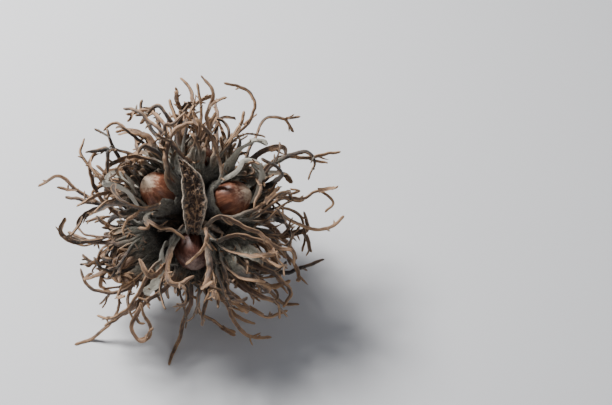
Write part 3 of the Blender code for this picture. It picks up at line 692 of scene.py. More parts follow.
class Wire:  # a node's output, so that maths on it can be written as an expression
    def __init__(self, finish, socket):
        self.finish = finish
        self.socket = socket

    def math(self, operation, *values):
        return self.finish.node("ShaderNodeMath", {"operation": operation}, dict(enumerate(values)))

    def __add__(self, other):
        return self.math("ADD", self, other)

    __radd__ = __add__

    def __sub__(self, other):
        return self.math("SUBTRACT", self, other)

    def __rsub__(self, other):
        return self.math("SUBTRACT", other, self)

    def __mul__(self, other):
        return self.math("MULTIPLY", self, other)

    __rmul__ = __mul__


class Finish:  # one material, with its nodes made by a single method
    def __init__(self, name):
        self.material = bpy.data.materials.new(name)
        self.material.use_nodes = True
        self.tree = self.material.node_tree
        self.shader = self.tree.nodes["Principled BSDF"]

    def node(self, kind, settings={}, inputs={}, output=0):
        made = self.tree.nodes.new(kind)
        for key, value in settings.items():
            setattr(made, key, value)
        for key, value in inputs.items():
            self.put(made.inputs[key], value)
        return Wire(self, made.outputs[output])

    def put(self, socket, value):
        if isinstance(value, Wire):
            self.tree.links.new(value.socket, socket)
        else:
            socket.default_value = value

    def set(self, **values):  # shader sockets by name, with _ for a space
        for key, value in values.items():
            self.put(self.shader.inputs[key.replace("_", " ")], value)

    def attribute(self, name, output="Fac"):
        return self.node("ShaderNodeAttribute", {"attribute_name": name}, output=output)

    def mix(self, factor, first, second, blend="MIX"):  # colours
        settings = {"data_type": "RGBA", "blend_type": blend, "clamp_factor": True}
        inputs = {0: factor}
        for key, colour in ((6, first), (7, second)):
            inputs[key] = colour if isinstance(colour, Wire) else (*colour, 1)
        return self.node("ShaderNodeMix", settings, inputs, 2)

    def band(self, value, low, high):  # 0 below low, 1 above high, smooth between
        settings = {"interpolation_type": "SMOOTHSTEP", "clamp": True}
        return self.node("ShaderNodeMapRange", settings, {0: value, 1: low, 2: high})

    def noise(self, vector, scale, detail=4.0, roughness=0.55, distortion=0.0):
        inputs = {"Vector": vector, "Scale": scale, "Detail": detail, "Roughness": roughness}
        return self.node("ShaderNodeTexNoise", {}, {**inputs, "Distortion": distortion})

    def place(self):  # where a point is on the part, in metres
        return self.node("ShaderNodeTexCoord", output="Object")

    def bump(self, height, strength, distance, normal=None):
        inputs = {"Height": height, "Strength": strength, "Distance": distance}
        if normal:
            inputs["Normal"] = normal
        return self.node("ShaderNodeBump", {}, inputs)


huskLook = {
    "felt": (0.190, 0.180, 0.135),  # grey-green down at the base
    "feltShade": (0.080, 0.072, 0.050),
    "feltPale": (0.600, 0.565, 0.475),  # at the rims and on the hairs
    "brown": (0.108, 0.053, 0.027),
    "dark": (0.018, 0.011, 0.007),
    "tan": (0.420, 0.240, 0.118),  # pale edges, tips and front lobes: partly wear, partly painted highlight
    "feltReach": (4.0, 15.0),  # from a lobe's root, in mm: all down, no down
    "inside": (0.15, 0.13, 0.12),  # painted shade between the cups: what the colour is multiplied by there
    "insideReach": (13.0, 27.0),  # from the hub, in mm: full painted shade, none
    "roughness": (0.60, 0.92),  # bare, felted
    "sheen": 0.12,
    "sheenRoughness": 0.6,
    "fibres": 3.2,  # waves in a mm across a lobe
    "patch": 130.0,  # waves in a metre, as are the next four
    "blotch": 420.0,
    "wrinkle": 900.0,
    "grain": 2200.0,
    "fuzz": 6500.0,
    "wornFrom": (0.81, 1.22),  # where the tan starts, and where all is tan: wear and painted highlight
    "mottle": 0.45,  # pale patches in the down
}


def huskFinish():
    finish = Finish("huskFelt")
    place = finish.place()
    reach = finish.attribute("reach")
    share = finish.attribute("share")
    tone = finish.attribute("tone")
    margin = finish.attribute("margin")
    hair = finish.attribute("hair")
    fibres = finish.noise(finish.attribute("fibre", "Vector"), huskLook["fibres"], 4.0, 0.6)
    patch = finish.noise(place, huskLook["patch"], 3.0, 0.55)
    blotch = finish.noise(place, huskLook["blotch"], 5.0, 0.6)
    grain = finish.noise(place, huskLook["grain"], 4.0, 0.65)
    fuzz = finish.noise(place, huskLook["fuzz"], 3.0, 0.6)
    shade = blotch * 0.30 + patch * 0.40 + fibres * 0.30 + tone * 0.24 - 0.12
    brown = finish.mix(finish.band(shade, 0.40, 0.60), huskLook["dark"], huskLook["brown"])
    # Tan on margins, tips and the pale front lobes: partly wear, partly painted highlight.
    wearAndHighlight = margin * 0.27 + share * 0.30 + fibres * 0.50 + shade * 0.80
    worn = finish.band(wearAndHighlight, *huskLook["wornFrom"])
    brown = finish.mix(worn * 0.9, brown, huskLook["tan"])
    low, high = huskLook["feltReach"]
    down = 1 - finish.band(reach + (patch - 0.5) * 16.0, low, high)
    nap = fuzz * 0.35 + fibres * 0.35 + grain * 0.3
    felt = finish.mix(finish.band(nap, 0.40, 0.60), huskLook["feltShade"], huskLook["felt"])
    mottle = finish.band(blotch * 0.6 + grain * 0.4, 0.50, 0.62)
    felt = finish.mix(mottle * huskLook["mottle"], felt, huskLook["feltPale"])
    felt = finish.mix(margin * 0.5, felt, huskLook["feltPale"])
    colour = finish.mix(down, brown, felt)
    colour = finish.mix(hair * 0.75, colour, huskLook["feltPale"])
    # Painted shade: the colour is darkened towards the hub, where the cups and lobes shade one another.
    distance = {"operation": "DISTANCE"}
    away = finish.node("ShaderNodeVectorMath", distance, {0: place, 1: hub * mm}, "Value")
    near, far = huskLook["insideReach"]
    inside = 1 - finish.band(away, near * mm, far * mm)
    colour = finish.mix(inside, colour, huskLook["inside"], "MULTIPLY")
    smooth, rough = huskLook["roughness"]
    wrinkle = finish.noise(place, huskLook["wrinkle"], 5.0, 0.7, 0.6)
    bump = finish.bump(fibres, 0.7, 0.00025)
    bump = finish.bump(wrinkle * down + blotch * 0.4, 0.75, 0.00055, bump)
    bump = finish.bump(grain + fuzz * 0.5, 0.6, 0.00020, bump)
    finish.set(
        Base_Color=colour, Roughness=smooth + (rough - smooth) * down, Normal=bump,
        Sheen_Weight=huskLook["sheen"], Sheen_Roughness=huskLook["sheenRoughness"],
    )
    return finish.material


nutLook = {
    "shell": (0.290, 0.110, 0.058),
    "shellDark": (0.110, 0.037, 0.021),
    "shellPale": (0.480, 0.265, 0.165),
    "down": (0.600, 0.480, 0.350),  # pale felt round the point
    "scar": (0.360, 0.270, 0.170),
    "darker": (0.42, 0.36, 0.44),  # what a darkened nut's colour is multiplied by: painted shade on nut_3, a tone of its own on each other nut
    "toneAndShade": {"nut_3": 0.85, "nut_1": 0.0, "nut_2": 0.1},  # how far each nut goes to that; nut_3's share is painted shade
    "usualTone": (0.0, 0.4),
    "roughness": (0.36, 0.75),  # shell, down
    "gloss": 0.45,
    "grainLength": 0.09,  # how far the streaks are drawn out: less is longer
    "streak": 0.85,  # waves in a mm, as are the next three
    "thread": 3.4,
    "blotch": 0.22,
    "speck": 2.6,
    "downFrom": (0.78, 1.01),  # share of the height: first down, all down
    "scarTo": (0.015, 0.075),
}


def nutFinish():
    finish = Finish("nutShell")
    local = finish.attribute("local", "Vector")  # mm from the scar, in the nut's own frame
    rise = finish.attribute("rise")  # 0 at the scar, 1 at the point
    tone = finish.attribute("tone")
    stretch = finish.node("ShaderNodeMapping", {}, {"Vector": local, "Scale": (1, 1, nutLook["grainLength"])})
    streak = finish.noise(stretch, nutLook["streak"], 5.0, 0.62, 0.3)
    thread = finish.noise(stretch, nutLook["thread"], 3.0, 0.6)
    blotch = finish.noise(local, nutLook["blotch"], 3.0, 0.5)
    stripes = finish.band(streak * 0.7 + blotch * 0.3, 0.36, 0.62)
    threads = finish.band(thread * 0.6 + streak * 0.4, 0.52, 0.70)
    shell = finish.mix(stripes, nutLook["shellDark"], nutLook["shell"])
    shell = finish.mix(threads * 0.6, shell, nutLook["shellPale"])
    speck = finish.noise(local, nutLook["speck"], 4.0, 0.7)
    down = finish.band(rise + (streak - 0.5) * 0.42 + (speck - 0.5) * 0.22, *nutLook["downFrom"])
    colour = finish.mix(down * 0.9, shell, nutLook["down"])
    scar = 1 - finish.band(rise, *nutLook["scarTo"])
    colour = finish.mix(scar, colour, nutLook["scar"])
    # Painted shade on nut_3, which lies in shadow; the other nuts' darkening is a tone of their own.
    colour = finish.mix(tone, colour, nutLook["darker"], "MULTIPLY")
    smooth, rough = nutLook["roughness"]
    bump = finish.bump(thread, 0.30, 0.00010)
    bump = finish.bump(speck, 0.12, 0.00012, bump)
    finish.set(
        Base_Color=colour, Normal=bump, Specular_IOR_Level=nutLook["gloss"],
        Roughness=smooth + (rough - smooth) * down + (speck - 0.5) * 0.12 + tone * 0.16,
    )
    return finish.material


stalkLook = {
    "bark": (0.120, 0.078, 0.050),
    "barkDark": (0.030, 0.020, 0.014),
    "barkPale": (0.260, 0.200, 0.140),
    "wood": (0.420, 0.310, 0.190),
    "ridge": 700.0,  # waves in a metre
    "patch": 190.0,
}


def stalkFinish():
    finish = Finish("stalkBark")
    place = finish.place()
    ridge = finish.noise(place, stalkLook["ridge"], 5.0, 0.65)
    patch = finish.noise(place, stalkLook["patch"], 3.0, 0.5)
    cut = finish.attribute("cut")
    bark = finish.mix(finish.band(ridge, 0.35, 0.62), stalkLook["barkDark"], stalkLook["bark"])
    bark = finish.mix(finish.band(patch, 0.50, 0.72) * 0.6, bark, stalkLook["barkPale"])
    colour = finish.mix(cut, bark, stalkLook["wood"])
    bump = finish.bump(ridge, 0.5, 0.0003)
    finish.set(Base_Color=colour, Roughness=0.8 + (ridge - 0.5) * 0.2, Normal=bump)
    return finish.material


materials = {"husk": huskFinish(), "nut": nutFinish(), "stalk": stalkFinish()}
print("materials made:", sorted(materials))


# Meshes

fields = ("reach", "share", "margin", "tone", "hair")  # what the husk's material reads at each point


def blankMesh():
    bm = bmesh.new()
    for name in fields:
        layerOf(bm, name)
    layerOf(bm, "fibre", "float_vector")  # stretched along the fibres
    return bm


def layerOf(bm, name, kind="float"):
    layers = getattr(bm.verts.layers, kind)
    return layers.get(name) or layers.new(name)


def paint(bm, verts, **values):  # the same value on each of the vertices
    for name, value in values.items():
        layer = layerOf(bm, name)
        for vert in verts:
            vert[layer] = value


def pour(bm, target):  # adds one bmesh to another and frees it
    mesh = bpy.data.meshes.new("part")
    bm.to_mesh(mesh)
    bm.free()
    target.from_mesh(mesh)
    bpy.data.meshes.remove(mesh)


def finishPiece(bm, name, node, material, sharp=40):
    bmesh.ops.scale(bm, vec=(mm, mm, mm), verts=bm.verts[:])
    keepInBox(bm)
    mesh = bpy.data.meshes.new(name)
    bm.to_mesh(mesh)
    bm.free()
    mesh.materials.append(material)
    mesh.shade_smooth()
    mesh.set_sharp_from_angle(angle=math.radians(sharp))
    piece = bpy.data.objects.new(name, mesh)
    bpy.context.scene.collection.objects.link(piece)
    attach(piece, "root")
    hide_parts(node)
    return piece


def keepInBox(bm):  # the fine tips stay inside the solids' box
    low, high = cadBox
    for vert in bm.verts:
        vert.co = Vector([min(max(vert.co[k], low[k]), high[k]) for k in range(3)])


def sortFaces(bm):  # merging leaves the faces in an order that changes from run to run
    bm.verts.index_update()
    count = len(bm.verts)

    def order(face):
        found = [vert.index for vert in face.verts]
        return min(found) * count + max(found) + sum(found) / (4 * count + 1)

    bm.faces.sort(key=order)


def turned(profile, sides):  # a closed body turned about Z, from (radius, height) pairs
    bm = bmesh.new()
    verts = [bm.verts.new((radius, 0, height)) for radius, height in profile]
    edges = [bm.edges.new(pair) for pair in zip(verts, verts[1:])]
    full = 2 * math.pi
    bmesh.ops.spin(
        bm, geom=verts + edges, cent=(0, 0, 0), axis=(0, 0, 1), angle=full, steps=sides, use_merge=True
    )
    bmesh.ops.remove_doubles(bm, verts=bm.verts[:], dist=0.01)
    bmesh.ops.recalc_face_normals(bm, faces=bm.faces[:])
    sortFaces(bm)
    return bm


def roundedOutline(outline, count):  # evenly spaced points on a smooth curve through an outline
    places = [Vector((x, y, 0)) for x, y in outline]
    route = smoothRoute(places, 0.05)
    pick = np.linspace(0, len(route) - 1, count).round().astype(int)
    return [(max(route[i].x, 0), route[i].y) for i in pick]


def straightStrap(sides, rings):  # one unit long and one unit in radius, along Z
    bm = blankMesh()
    bmesh.ops.create_cone(bm, cap_ends=True, segments=sides, radius1=1, radius2=1, depth=1)
    bmesh.ops.translate(bm, verts=bm.verts[:], vec=(0, 0, 0.5))
    lengthwise = [e for e in bm.edges if abs(e.verts[0].co.z - e.verts[1].co.z) > 0.5]
    bmesh.ops.subdivide_edges(bm, edges=lengthwise, cuts=rings - 2, use_grid_fill=True)
    return bm


def routeFrames(points, across, foot, twist):  # place, side and up at each point of a fine route
    frames = []
    side = across
    count = len(points)
    for i, point in enumerate(points):
        along = (points[min(i + 1, count - 1)] - points[max(i - 1, 0)]).normalized()
        if foot and point.z < 4:
            level = Vector((0, 0, 1)).cross(along)
            side = side.lerp(level if level.dot(side) > 0 else -level, 0.3)
        side = (side - along * side.dot(along)).normalized()
        turn = Matrix.Rotation(twist * (i / count) ** 2, 3, along)
        frames.append((point, turn @ side, turn @ along.cross(side)))
    return frames


def frameAt(frames, share):  # place, side and up between two points of the route
    at = share * (len(frames) - 1)
    i = min(int(at), len(frames) - 2)
    point, side, up = (a.lerp(b, at - i) for a, b in zip(frames[i], frames[i + 1]))
    return point, side.normalized(), up.normalized()


def kinked(points, foot, offset):  # the route with the small turns that dry lobes take
    moved = []
    count = len(points)
    for i, point in enumerate(points):
        fade = min(i / 8, 1) * (min(point.z / 8, 1) if foot else 1)
        sway = Vector((0, 0, 0))
        for size, amount in strap["kinks"]:
            sway += noise.noise_vector((point + offset) * size) * amount
        moved.append(point + sway * fade)
    return moved


def makeStrap(facts, rng, sides=None):
    sides = sides or strap["sides"]
    isFork, foot = facts["fork"], facts["foot"]
    offset = anywhere(rng, 50)
    points = kinked(smoothRoute(facts["points"], 0.5), foot, offset)
    length = 0.5 * (len(points) - 1)
    twist = 0 if foot else math.radians(rng.uniform(-1, 1) * strap["twist"])
    frames = routeFrames(points, facts["across"], foot, twist)
    bm = straightStrap(sides, max(5, round(length / strap["gap"])))
    trough = strap["trough"] * rng.uniform(*strap["troughs"]) * (0.3 if foot else 1)
    blunt = rng.uniform(*strap["blunt"])
    # A front lobe's tone is raised, which paints it paler: partly wear, partly painted highlight.
    tone = rng.random() * (1 - facts["worn"]) + facts["worn"]
    if facts["parent"]:
        tone = facts["parent"]["tone"]
    facts["tone"] = tone
    half = facts["width"] * lobe["width"] / 2 * strap["section"]
    thick = lobe["thickness"] / 2 * strap["section"] * strap["thin"]
    if facts["worn"]:
        half, thick = half * strap["wornShape"][0], thick * strap["wornShape"][1]
    flare, flareLength = strap["flare"]
    layers = {name: layerOf(bm, name) for name in ("reach", "share", "margin")}
    fibre = layerOf(bm, "fibre", "float_vector")
    for vert in bm.verts:
        share = vert.co.z
        point, side, up = frameAt(frames, share)
        a, b = vert.co.x, vert.co.y
        gone, left = share * length, (1 - share) * length
        taper = float(np.interp(share, *facts["taper"]))
        if not isFork and not facts["worn"]:
            taper *= 1 + flare * math.exp(-((gone / flareLength) ** 2))
        if left < strap["tip"] and length > 5:
            taper *= 1 + (blunt - 1) * math.sin(math.pi * min(left / strap["tip"], 1))
        end = math.sqrt(max(0.03, 1 - max(0, 1 - left / strap["round"]) ** 2))
        edge = noise.noise(Vector((gone * 0.65, 3 * round(a), 0)) + offset)
        x = a * half * taper * end * (1 + strap["ragged"] * edge)
        flat = 0.75 + 0.25 * min(taper, 1.2)
        y = b * thick * flat * end * (1 + strap["lumps"] * noise.noise(point * 0.8 + side * a))
        y += math.copysign(strap["ridge"] * math.cos(2 * math.pi * a), b) * end
        y += trough * half * min(taper, 1.5) * (a * a - 0.35) * end
        vert.co = point + side * x + up * y
        vert.co.z = max(vert.co.z, 0)
        vert[layers["reach"]] = -12 if facts["pale"] else gone + (12 if isFork else 0)
        vert[layers["share"]] = 0.5 + share / 2 if isFork else share
        vert[layers["margin"]] = abs(a) ** 3
        vert[fibre] = (a * 1.3, b * 1.3, gone * 0.14 + tone * 60)
    paint(bm, bm.verts, tone=tone, hair=facts["pale"])
    bmesh.ops.recalc_face_normals(bm, faces=bm.faces[:])
    return bm, frames, length


spur = {
    "spacing": 11.0,  # along a lobe
    "places": (0.1, 0.93),  # share of the lobe between which they leave it
    "floor": 2.5,  # none leave it lower than this
    "length": (0.9, 4.2),
    "width": (0.38, 0.62),
    "taper": ((0, 0.3, 1), (1.5, 0.9, 0.25)),
}


def spursOf(facts, frames, length, rng):  # short points that leave a lobe's margins
    spurs = []
    for _ in range(round(length / spur["spacing"])):
        share = rng.uniform(*spur["places"])
        point, side, up = frameAt(frames, share)
        if point.z < spur["floor"]:
            continue
        ahead, _, _ = frameAt(frames, min(share + 0.02, 1))
        behind, _, _ = frameAt(frames, share - 0.02)
        along = (ahead - behind).normalized()
        aside = side * rng.choice((-1, 1)) + up * rng.uniform(-0.5, 0.5)
        heading = (along * rng.uniform(0.3, 1.2) + aside).normalized()
        bend = (along * rng.uniform(-0.6, 0.9) + up * rng.uniform(-0.6, 0.6)) * 0.5
        reach = rng.uniform(*spur["length"])
        route = [point, point + heading * reach * 0.5, point + (heading + bend * 0.5) * reach]
        spurs.append({
            **plainLobe, "points": route, "width": rng.uniform(*spur["width"]), "across": up,
            "fork": True, "taper": spur["taper"], "parent": facts,
        })
    return spurs


bristle = {
    "length": (0.45, 1.5),
    "radius": 0.045,
    "perLobe": 3.4,  # hairs in a mm, near the root
    "bareFrom": 15.0,  # how far from its root a lobe turns nearly bare
    "fewest": 0.16,  # share of the hairs that a bare lobe keeps
    "floor": 1.5,  # none grow lower than this
    "cup": 2400,  # hairs on a cup
}


def addBristle(bm, place, out, length, tone, reach):
    made = bmesh.ops.create_cone(
        bm, cap_ends=True, segments=3, radius1=bristle["radius"], radius2=0, depth=length,
        matrix=pointing(place + out * length * 0.4, out),
    )
    paint(bm, made["verts"], tone=tone, hair=1.0, reach=reach, share=0.3, margin=0.5)


def scattered(normal, spread, rng):
    return (normal + Vector([rng.uniform(-spread, spread) for _ in range(3)])).normalized()


def addBristles(target, strapMesh, length, rng):  # thick at the root and thin further out
    faces = [f for f in strapMesh.faces if f.calc_area() > 1e-4]
    reachLayer = layerOf(strapMesh, "reach")
    toneLayer = layerOf(strapMesh, "tone")
    bm = blankMesh()
    for face in rng.choices(faces, k=round(length * bristle["perLobe"])):
        reach = face.verts[0][reachLayer]
        place = face.calc_center_median()
        chance = max(bristle["fewest"], 1.2 - reach / bristle["bareFrom"])
        if place.z < bristle["floor"] or rng.random() > chance:
            continue
        size = rng.uniform(*bristle["length"]) * (1 if reach < 10 else 0.6)
        addBristle(bm, place, scattered(face.normal, 0.5, rng), size, face.verts[0][toneLayer], reach)
    pour(bm, target)


leaf = {
    "taper": ((0, 0.12, 0.3, 0.5, 0.7, 0.86, 1), (0.34, 0.50, 0.78, 1.0, 0.92, 0.46, 0.04)),
    "rings": 200,
    "sides": 92,
    "slim": 0.92,  # width beside that of its solid
    "lamina": 0.16,  # thickness of its skin
    "roll": 0.55,  # the edges are rolled and thicker
    "net": 0.75,  # height of the raised net
    "netSize": (0.85, 0.50),  # cells in a mm, across and along
    "trough": 0.30,
    "ribAside": 0.15,  # how far its midrib stands off the middle, as a share of the half width
    "ribWidth": 0.06,
    "fold": 0.9,  # how far its skin is crumpled
    "rimPale": 0.60,  # how far its rim goes to the pale felt's colour
}


def makeLeaf(facts):  # the broad bract over the face, with rolled edges and a raised net
    points = smoothRoute(facts["points"][::2], 0.5)
    length = 0.5 * (len(points) - 1)
    frames = routeFrames(points, facts["across"], False, 0)
    bm = straightStrap(leaf["sides"], leaf["rings"])
    half = facts["width"] * lobe["width"] / 2 * strap["section"] * leaf["slim"]
    layers = {name: layerOf(bm, name) for name in ("reach", "share", "margin", "hair")}
    fibre = layerOf(bm, "fibre", "float_vector")
    for vert in bm.verts:
        share = vert.co.z
        point, side, up = frameAt(frames, share)
        a, b = vert.co.x, vert.co.y
        taper = float(np.interp(share, *leaf["taper"]))
        x = a * half * taper * (1 + 0.12 * noise.noise(point * 0.5))
        edge = abs(a) ** 7
        wide, long = leaf["netSize"]
        drift = noise.noise_vector(Vector((x, share * length, 3)) * 0.6) * 0.8
        cells = noise.voronoi(Vector((x * wide, share * length * long, 0)) + drift)[0]
        ridge = max(0, 1 - (cells[1] - cells[0]) * 4.0) ** 0.7
        rib = math.exp(-(((a + leaf["ribAside"]) / leaf["ribWidth"]) ** 2))
        raised = max(ridge * 0.8, rib) * (1 - edge)
        wall = leaf["lamina"] + leaf["roll"] * edge + leaf["net"] * raised
        y = math.copysign(min(1, abs(b) * 3), b) * wall
        y += leaf["trough"] * half * taper * (a * a - 0.3)
        y += leaf["fold"] * noise.noise(point * 0.45 + side * a * 2.5) * (1 - edge)
        vert.co = point + side * x + up * y
        vert[layers["reach"]] = 14 + share * 6
        vert[layers["share"]] = 0.1
        vert[layers["margin"]] = max(edge * 4.0, ridge * 2.7, rib * 2.6) - 0.9
        vert[layers["hair"]] = min(1.0, edge * 1.5) * leaf["rimPale"]
        vert[fibre] = (x * 1.5, share * length, b)
    paint(bm, bm.verts, tone=0.45)
    bmesh.ops.recalc_face_normals(bm, faces=bm.faces[:])
    return bm


tooth = {
    "count": 15,
    "length": {"husk_4": (3.5, 8.0)},  # one nut is nearly closed in
    "usualLength": (1.5, 6.0),
    "width": (1.3, 2.1),
    "clear": 0.55,  # from the nut to a tooth's middle
    "front": -0.1,  # on an open husk, no tooth faces the viewer by more than this
}


def rimTeeth(name, huskFrame, rng):  # points of the rim that lie on the nut
    teeth = []
    for slot in range(tooth["count"]):
        azimuth = 2 * math.pi * (slot + rng.uniform(-0.35, 0.35)) / tooth["count"]
        length = rng.uniform(*tooth["length"].get(name, tooth["usualLength"]))
        swing = rng.uniform(-0.25, 0.25)
        radial = around(azimuth)
        if husks[name].get("open") and (huskFrame.to_3x3() @ radial).dot(faceT) > tooth["front"]:
            continue
        places = []
        for share in (-0.4, 0, 0.35, 0.7, 1.0):
            height = cup["rim"] + length * share
            radius = nutRadius(height - nut["base"]) + tooth["clear"]
            angle = azimuth + swing * max(share, 0)
            places.append(huskFrame @ around(angle, radius, height))
        across = huskFrame.to_3x3() @ Vector((-radial.y, radial.x, 0))
        width = rng.uniform(*tooth["width"])
        teeth.append({**plainLobe, "points": smoothRoute(places), "width": width, "across": across})
    return teeth


def makeCup(huskFrame, turn, rng):
    spare = head["gap"] / math.cos(math.pi / 12) + 0.2
    seat = nut["base"] - head["gap"]
    inner = [(0, seat)]
    for share, width in nut["outline"][1:4]:
        inner.append((width * nut["width"] / 2 + spare, seat + share * nut["length"]))
    widest = nut["width"] / 2 + spare
    wall = cup["wall"]
    inner += [(widest, nut["base"] + 0.4 * nut["length"] - 1.5), (widest, cup["rim"] - 0.5)]
    outer = [
        (widest + wall * 0.5, cup["rim"] + 0.15), (widest + wall * 0.95, cup["rim"] - 0.5),
        (widest + wall, cup["shoulder"]), *cup["outside"], (cup["footRadius"], cup["foot"]),
        (0, cup["foot"]),
    ]
    bm = turned(roundedOutline(inner + outer, cup["rings"]), cup["sides"])
    offset = anywhere(rng, 50)
    folds, depth = cup["folds"]
    reachLayer, marginLayer = layerOf(bm, "reach"), layerOf(bm, "margin")
    fibre = layerOf(bm, "fibre", "float_vector")
    for vert in bm.verts:
        angle = math.atan2(vert.co.y, vert.co.x)
        height = vert.co.z
        vert[fibre] = (vert.co.x * 0.9, vert.co.y * 0.9, height * 0.2)
        outside = vert.co.xy.length > nutRadius(height - nut["base"]) + 1.0
        rimward = max(0, (height - cup["rim"] + 2.5) / 2.5)
        if outside and height > cup["foot"] + 1:
            swell = 1 - cup["ribDepth"] * (0.5 + 0.5 * math.cos(cup["ribs"] * angle + turn))
            swell *= 1 - depth * (0.5 + 0.5 * math.cos(folds * angle + 5 * noise.noise(vert.co * 0.2)))
            swell *= 1 + cup["lumps"] * noise.noise(vert.co * 0.5 + offset)
            vert.co.x *= swell
            vert.co.y *= swell
        ragged = noise.noise(around(angle) * 4.5 + offset)
        vert.co.z += rimward * (cup["ragged"] * ragged - 0.2)
        vert[reachLayer] = -2.0
        vert[marginLayer] = rimward * 0.6
    paint(bm, bm.verts, tone=rng.random(), share=0.0, hair=0.0)
    bmesh.ops.transform(bm, matrix=huskFrame, verts=bm.verts[:])
    return bm


def cupBristles(target, cupMesh, rng):
    faces = [f for f in cupMesh.faces if f.normal.length > 0.5]
    weights = [f.calc_area() for f in faces]
    batch = 100  # poured in batches, which is much faster
    for _ in range(bristle["cup"] // batch):
        bm = blankMesh()
        for face in rng.choices(faces, weights=weights, k=batch):
            corner = rng.choice(sorted(face.verts, key=lambda vert: vert.index)).co
            place = face.calc_center_median().lerp(corner, rng.random())
            out = scattered(face.normal, 0.7, rng)
            addBristle(bm, place, out, rng.uniform(*bristle["length"]), 0.5, -1.0)
        pour(bm, target)


def makeHusk(name, huskFrame, turn):
    rng = random.Random(name + " mesh")
    bm = blankMesh()
    cupMesh = makeCup(huskFrame, turn, rng)
    cupBristles(bm, cupMesh, rng)
    pour(cupMesh, bm)
    for facts in rimTeeth(name, huskFrame, rng):
        pour(makeStrap(facts, rng, 8)[0], bm)
    for facts in lobesOf[name]:
        if facts["leaf"]:
            pour(makeLeaf(facts), bm)
            continue
        made, frames, length = makeStrap(facts, rng, 8 if facts["width"] < 0.8 else None)
        addBristles(bm, made, length, rng)
        pour(made, bm)
        for side in spursOf(facts, frames, length, rng):
            pour(makeStrap(side, rng, 6)[0], bm)
    return finishPiece(bm, name + "Felted", name, materials["husk"], sharp=75)


nutDetail = {
    "rings": 40,
    "sides": 64,
    "ribs": 0.05,  # low ridges along the shell
    "point": 0.35,  # the dry remains at the tip
}


def makeNut(name, huskFrame, turn):
    rng = random.Random(name)
    base, length = nut["base"], nut["length"]
    outline = [(width * nut["width"] / 2, base + share * length) for share, width in nut["outline"]]
    profile = [(0, base + 0.25), (0.3 * nut["width"] / 2, base + 0.12)]  # the scar is hollow
    profile += roundedOutline(outline[1:-1], nutDetail["rings"])
    profile += [(nutDetail["point"], base + 0.985 * length), (0, base + length)]
    bm = turned(profile, nutDetail["sides"])
    local = layerOf(bm, "local", "float_vector")
    rise = layerOf(bm, "rise")
    offset = anywhere(rng, 40)
    for vert in bm.verts:
        height = (vert.co.z - base) / length
        angle = math.atan2(vert.co.y, vert.co.x)
        rib = noise.noise(around(angle) * 5.0 + offset)
        swell = 1 + (rib * nutDetail["ribs"] * 0.4 - 0.008) * math.sin(math.pi * min(max(height, 0), 1))
        vert.co.x *= swell
        vert.co.y *= swell * nut["flatness"]
        vert[local] = vert.co + offset
        vert[rise] = height
    # nut_3's tone is painted shade
    tone = nutLook["toneAndShade"].get(name, rng.uniform(*nutLook["usualTone"]))
    paint(bm, bm.verts, tone=tone)
    bmesh.ops.rotate(bm, cent=(0, 0, 0), matrix=Matrix.Rotation(turn, 3, "Z"), verts=bm.verts[:])
    bmesh.ops.transform(bm, matrix=huskFrame, verts=bm.verts[:])
    return finishPiece(bm, name + "Shell", name, materials["nut"], sharp=60)


goldenAngle = math.pi * (3 - math.sqrt(5))  # spreads the scales evenly over a ball


def makeStalk():
    down = faceDirection(stalk["axis"]).normalized()
    knob, radius, length = stalk["knob"], stalk["radius"], stalk["length"]
    outline = [(0, -knob)]
    for angle in range(20, 150, 20):
        outline.append((knob * math.sin(math.radians(angle)), -knob * math.cos(math.radians(angle))))
    outline += [(radius * wide, along) for wide, along in stalk["swells"]]
    outline += [  # the cut end
        (radius * 1.2, length - 1.0), (radius * 1.1, length - 0.1), (radius * 0.9, length), (0, length - 0.2),
    ]
    bm = turned(roundedOutline(outline, stalk["rings"]), stalk["sides"])
    cut = layerOf(bm, "cut")
    for vert in bm.verts:
        angle = math.atan2(vert.co.y, vert.co.x)
        bark = noise.noise(around(angle, 3, vert.co.z * 0.22))
        vert.co.x *= 1 + stalk["rough"] * bark
        vert.co.y *= 1 + stalk["rough"] * bark
        vert[cut] = 1.0 if vert.co.z > length - 0.15 and vert.co.xy.length < radius * 0.95 else 0.0
    bmesh.ops.transform(bm, matrix=pointing(hub, down), verts=bm.verts[:])
    bracts = [(faceDirection(place).normalized(), stalk["bractOutline"]) for place in stalk["bracts"]]
    axes = [faceDirection(facts["axis"]).normalized() for facts in husks.values()]
    for k in range(stalk["scales"]):
        height = 1 - 2 * (k + 0.5) / stalk["scales"]
        angle = goldenAngle * k
        level = math.sqrt(1 - height * height)
        out = around(angle, level, height)
        if max(out.dot(axis) for axis in axes) < stalk["scaleClear"]:
            bracts.append((out, stalk["scaleOutline"]))
    for out, outline in bracts:
        bract = turned(roundedOutline(outline, stalk["bractRings"]), stalk["bractSides"])
        for vert in bract.verts:
            vert.co.x *= 1 + 0.25 * noise.noise(vert.co * 0.5 + out * 9)
            vert.co.y *= 0.8 + 0.25 * noise.noise(vert.co * 0.6 + out * 7)
        bmesh.ops.transform(bract, matrix=pointing(hub, out), verts=bract.verts[:])
        paint(bract, bract.verts, cut=0.0)
        pour(bract, bm)
    return finishPiece(bm, "stalkBark", "stalk", materials["stalk"])


makeStalk()
print("stalk made")
for index, (name, huskFrame) in enumerate(huskFrames.items()):
    makeNut(name.replace("husk", "nut"), huskFrame, 1.3 * index)
    piece = makeHusk(name, huskFrame, 1.3 * index)
    print(piece.name, "made with", len(piece.data.polygons), "faces")


# Floor, light and camera

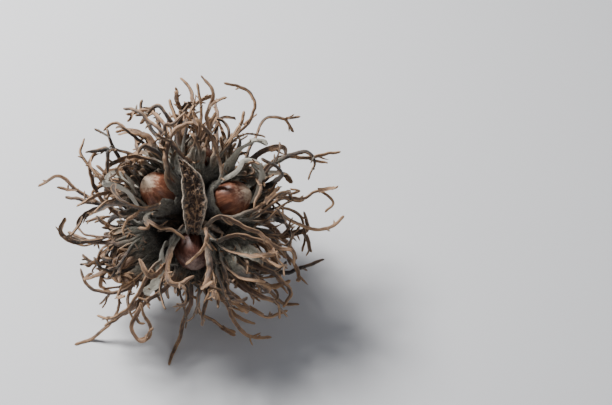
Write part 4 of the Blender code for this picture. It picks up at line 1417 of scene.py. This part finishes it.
studio = {
    "floor": (0.62, 0.62, 0.63),
    "aimRight": 41.4,  # mm across the face from the hub to the middle of the picture
    "aimUp": 4.5,
    "distance": 480.0,
    "pixelsToMm": 2.8,  # at the aim
    "pictureWidth": 612,
    "keyPlace": (-0.30, 0.26, 0.52),
    "keySize": 0.24,
    "keyPower": 10.0,
    "fillPlace": (0.45, -0.45, 0.40),
    "fillSize": 0.6,
    "fillPower": 1.1,
    "sky": (0.80, 0.86, 1.0),
    "skyStrength": 0.17,
}


def makeFloor():
    bm = bmesh.new()
    bmesh.ops.create_grid(bm, x_segments=1, y_segments=1, size=3)
    mesh = bpy.data.meshes.new("floor")
    bm.to_mesh(mesh)
    bm.free()
    finish = Finish("floorPaper")
    speck = finish.noise(finish.place(), 90.0, 3.0, 0.5)
    finish.set(Base_Color=(*studio["floor"], 1), Roughness=0.75 + (speck - 0.5) * 0.1)
    mesh.materials.append(finish.material)
    floor = bpy.data.objects.new("floor", mesh)
    bpy.context.scene.collection.objects.link(floor)


def makeLamp(name, place, size, power, target):
    data = bpy.data.lights.new(name, "AREA")
    data.shape = "DISK"
    data.size = size
    data.energy = power
    lamp = bpy.data.objects.new(name, data)
    lamp.location = place
    lamp.rotation_euler = (Vector(place) - target).to_track_quat("Z", "Y").to_euler()
    bpy.context.scene.collection.objects.link(lamp)


def makeCamera():
    data = bpy.data.cameras.new("camera")
    camera = bpy.data.objects.new("camera", data)
    bpy.context.scene.collection.objects.link(camera)
    eye = hub + faceX * studio["aimRight"] + faceY * studio["aimUp"] + faceT * studio["distance"]
    turn = Matrix((faceX, faceY, faceT)).transposed().to_4x4()
    camera.matrix_world = Matrix.Translation(eye * mm) @ turn
    data.sensor_width = 36
    data.lens = 36 * studio["distance"] * studio["pixelsToMm"] / studio["pictureWidth"]
    data.clip_start = 0.01
    bpy.context.scene.camera = camera


def makeSky():
    world = bpy.data.worlds.new("sky")
    world.use_nodes = True
    background = world.node_tree.nodes["Background"]
    background.inputs["Color"].default_value = (*studio["sky"], 1)
    background.inputs["Strength"].default_value = studio["skyStrength"]
    bpy.context.scene.world = world


makeFloor()
makeLamp("key", studio["keyPlace"], studio["keySize"], studio["keyPower"], hub * mm)
makeLamp("fill", studio["fillPlace"], studio["fillSize"], studio["fillPower"], hub * mm)
makeSky()
makeCamera()
print("stage made")
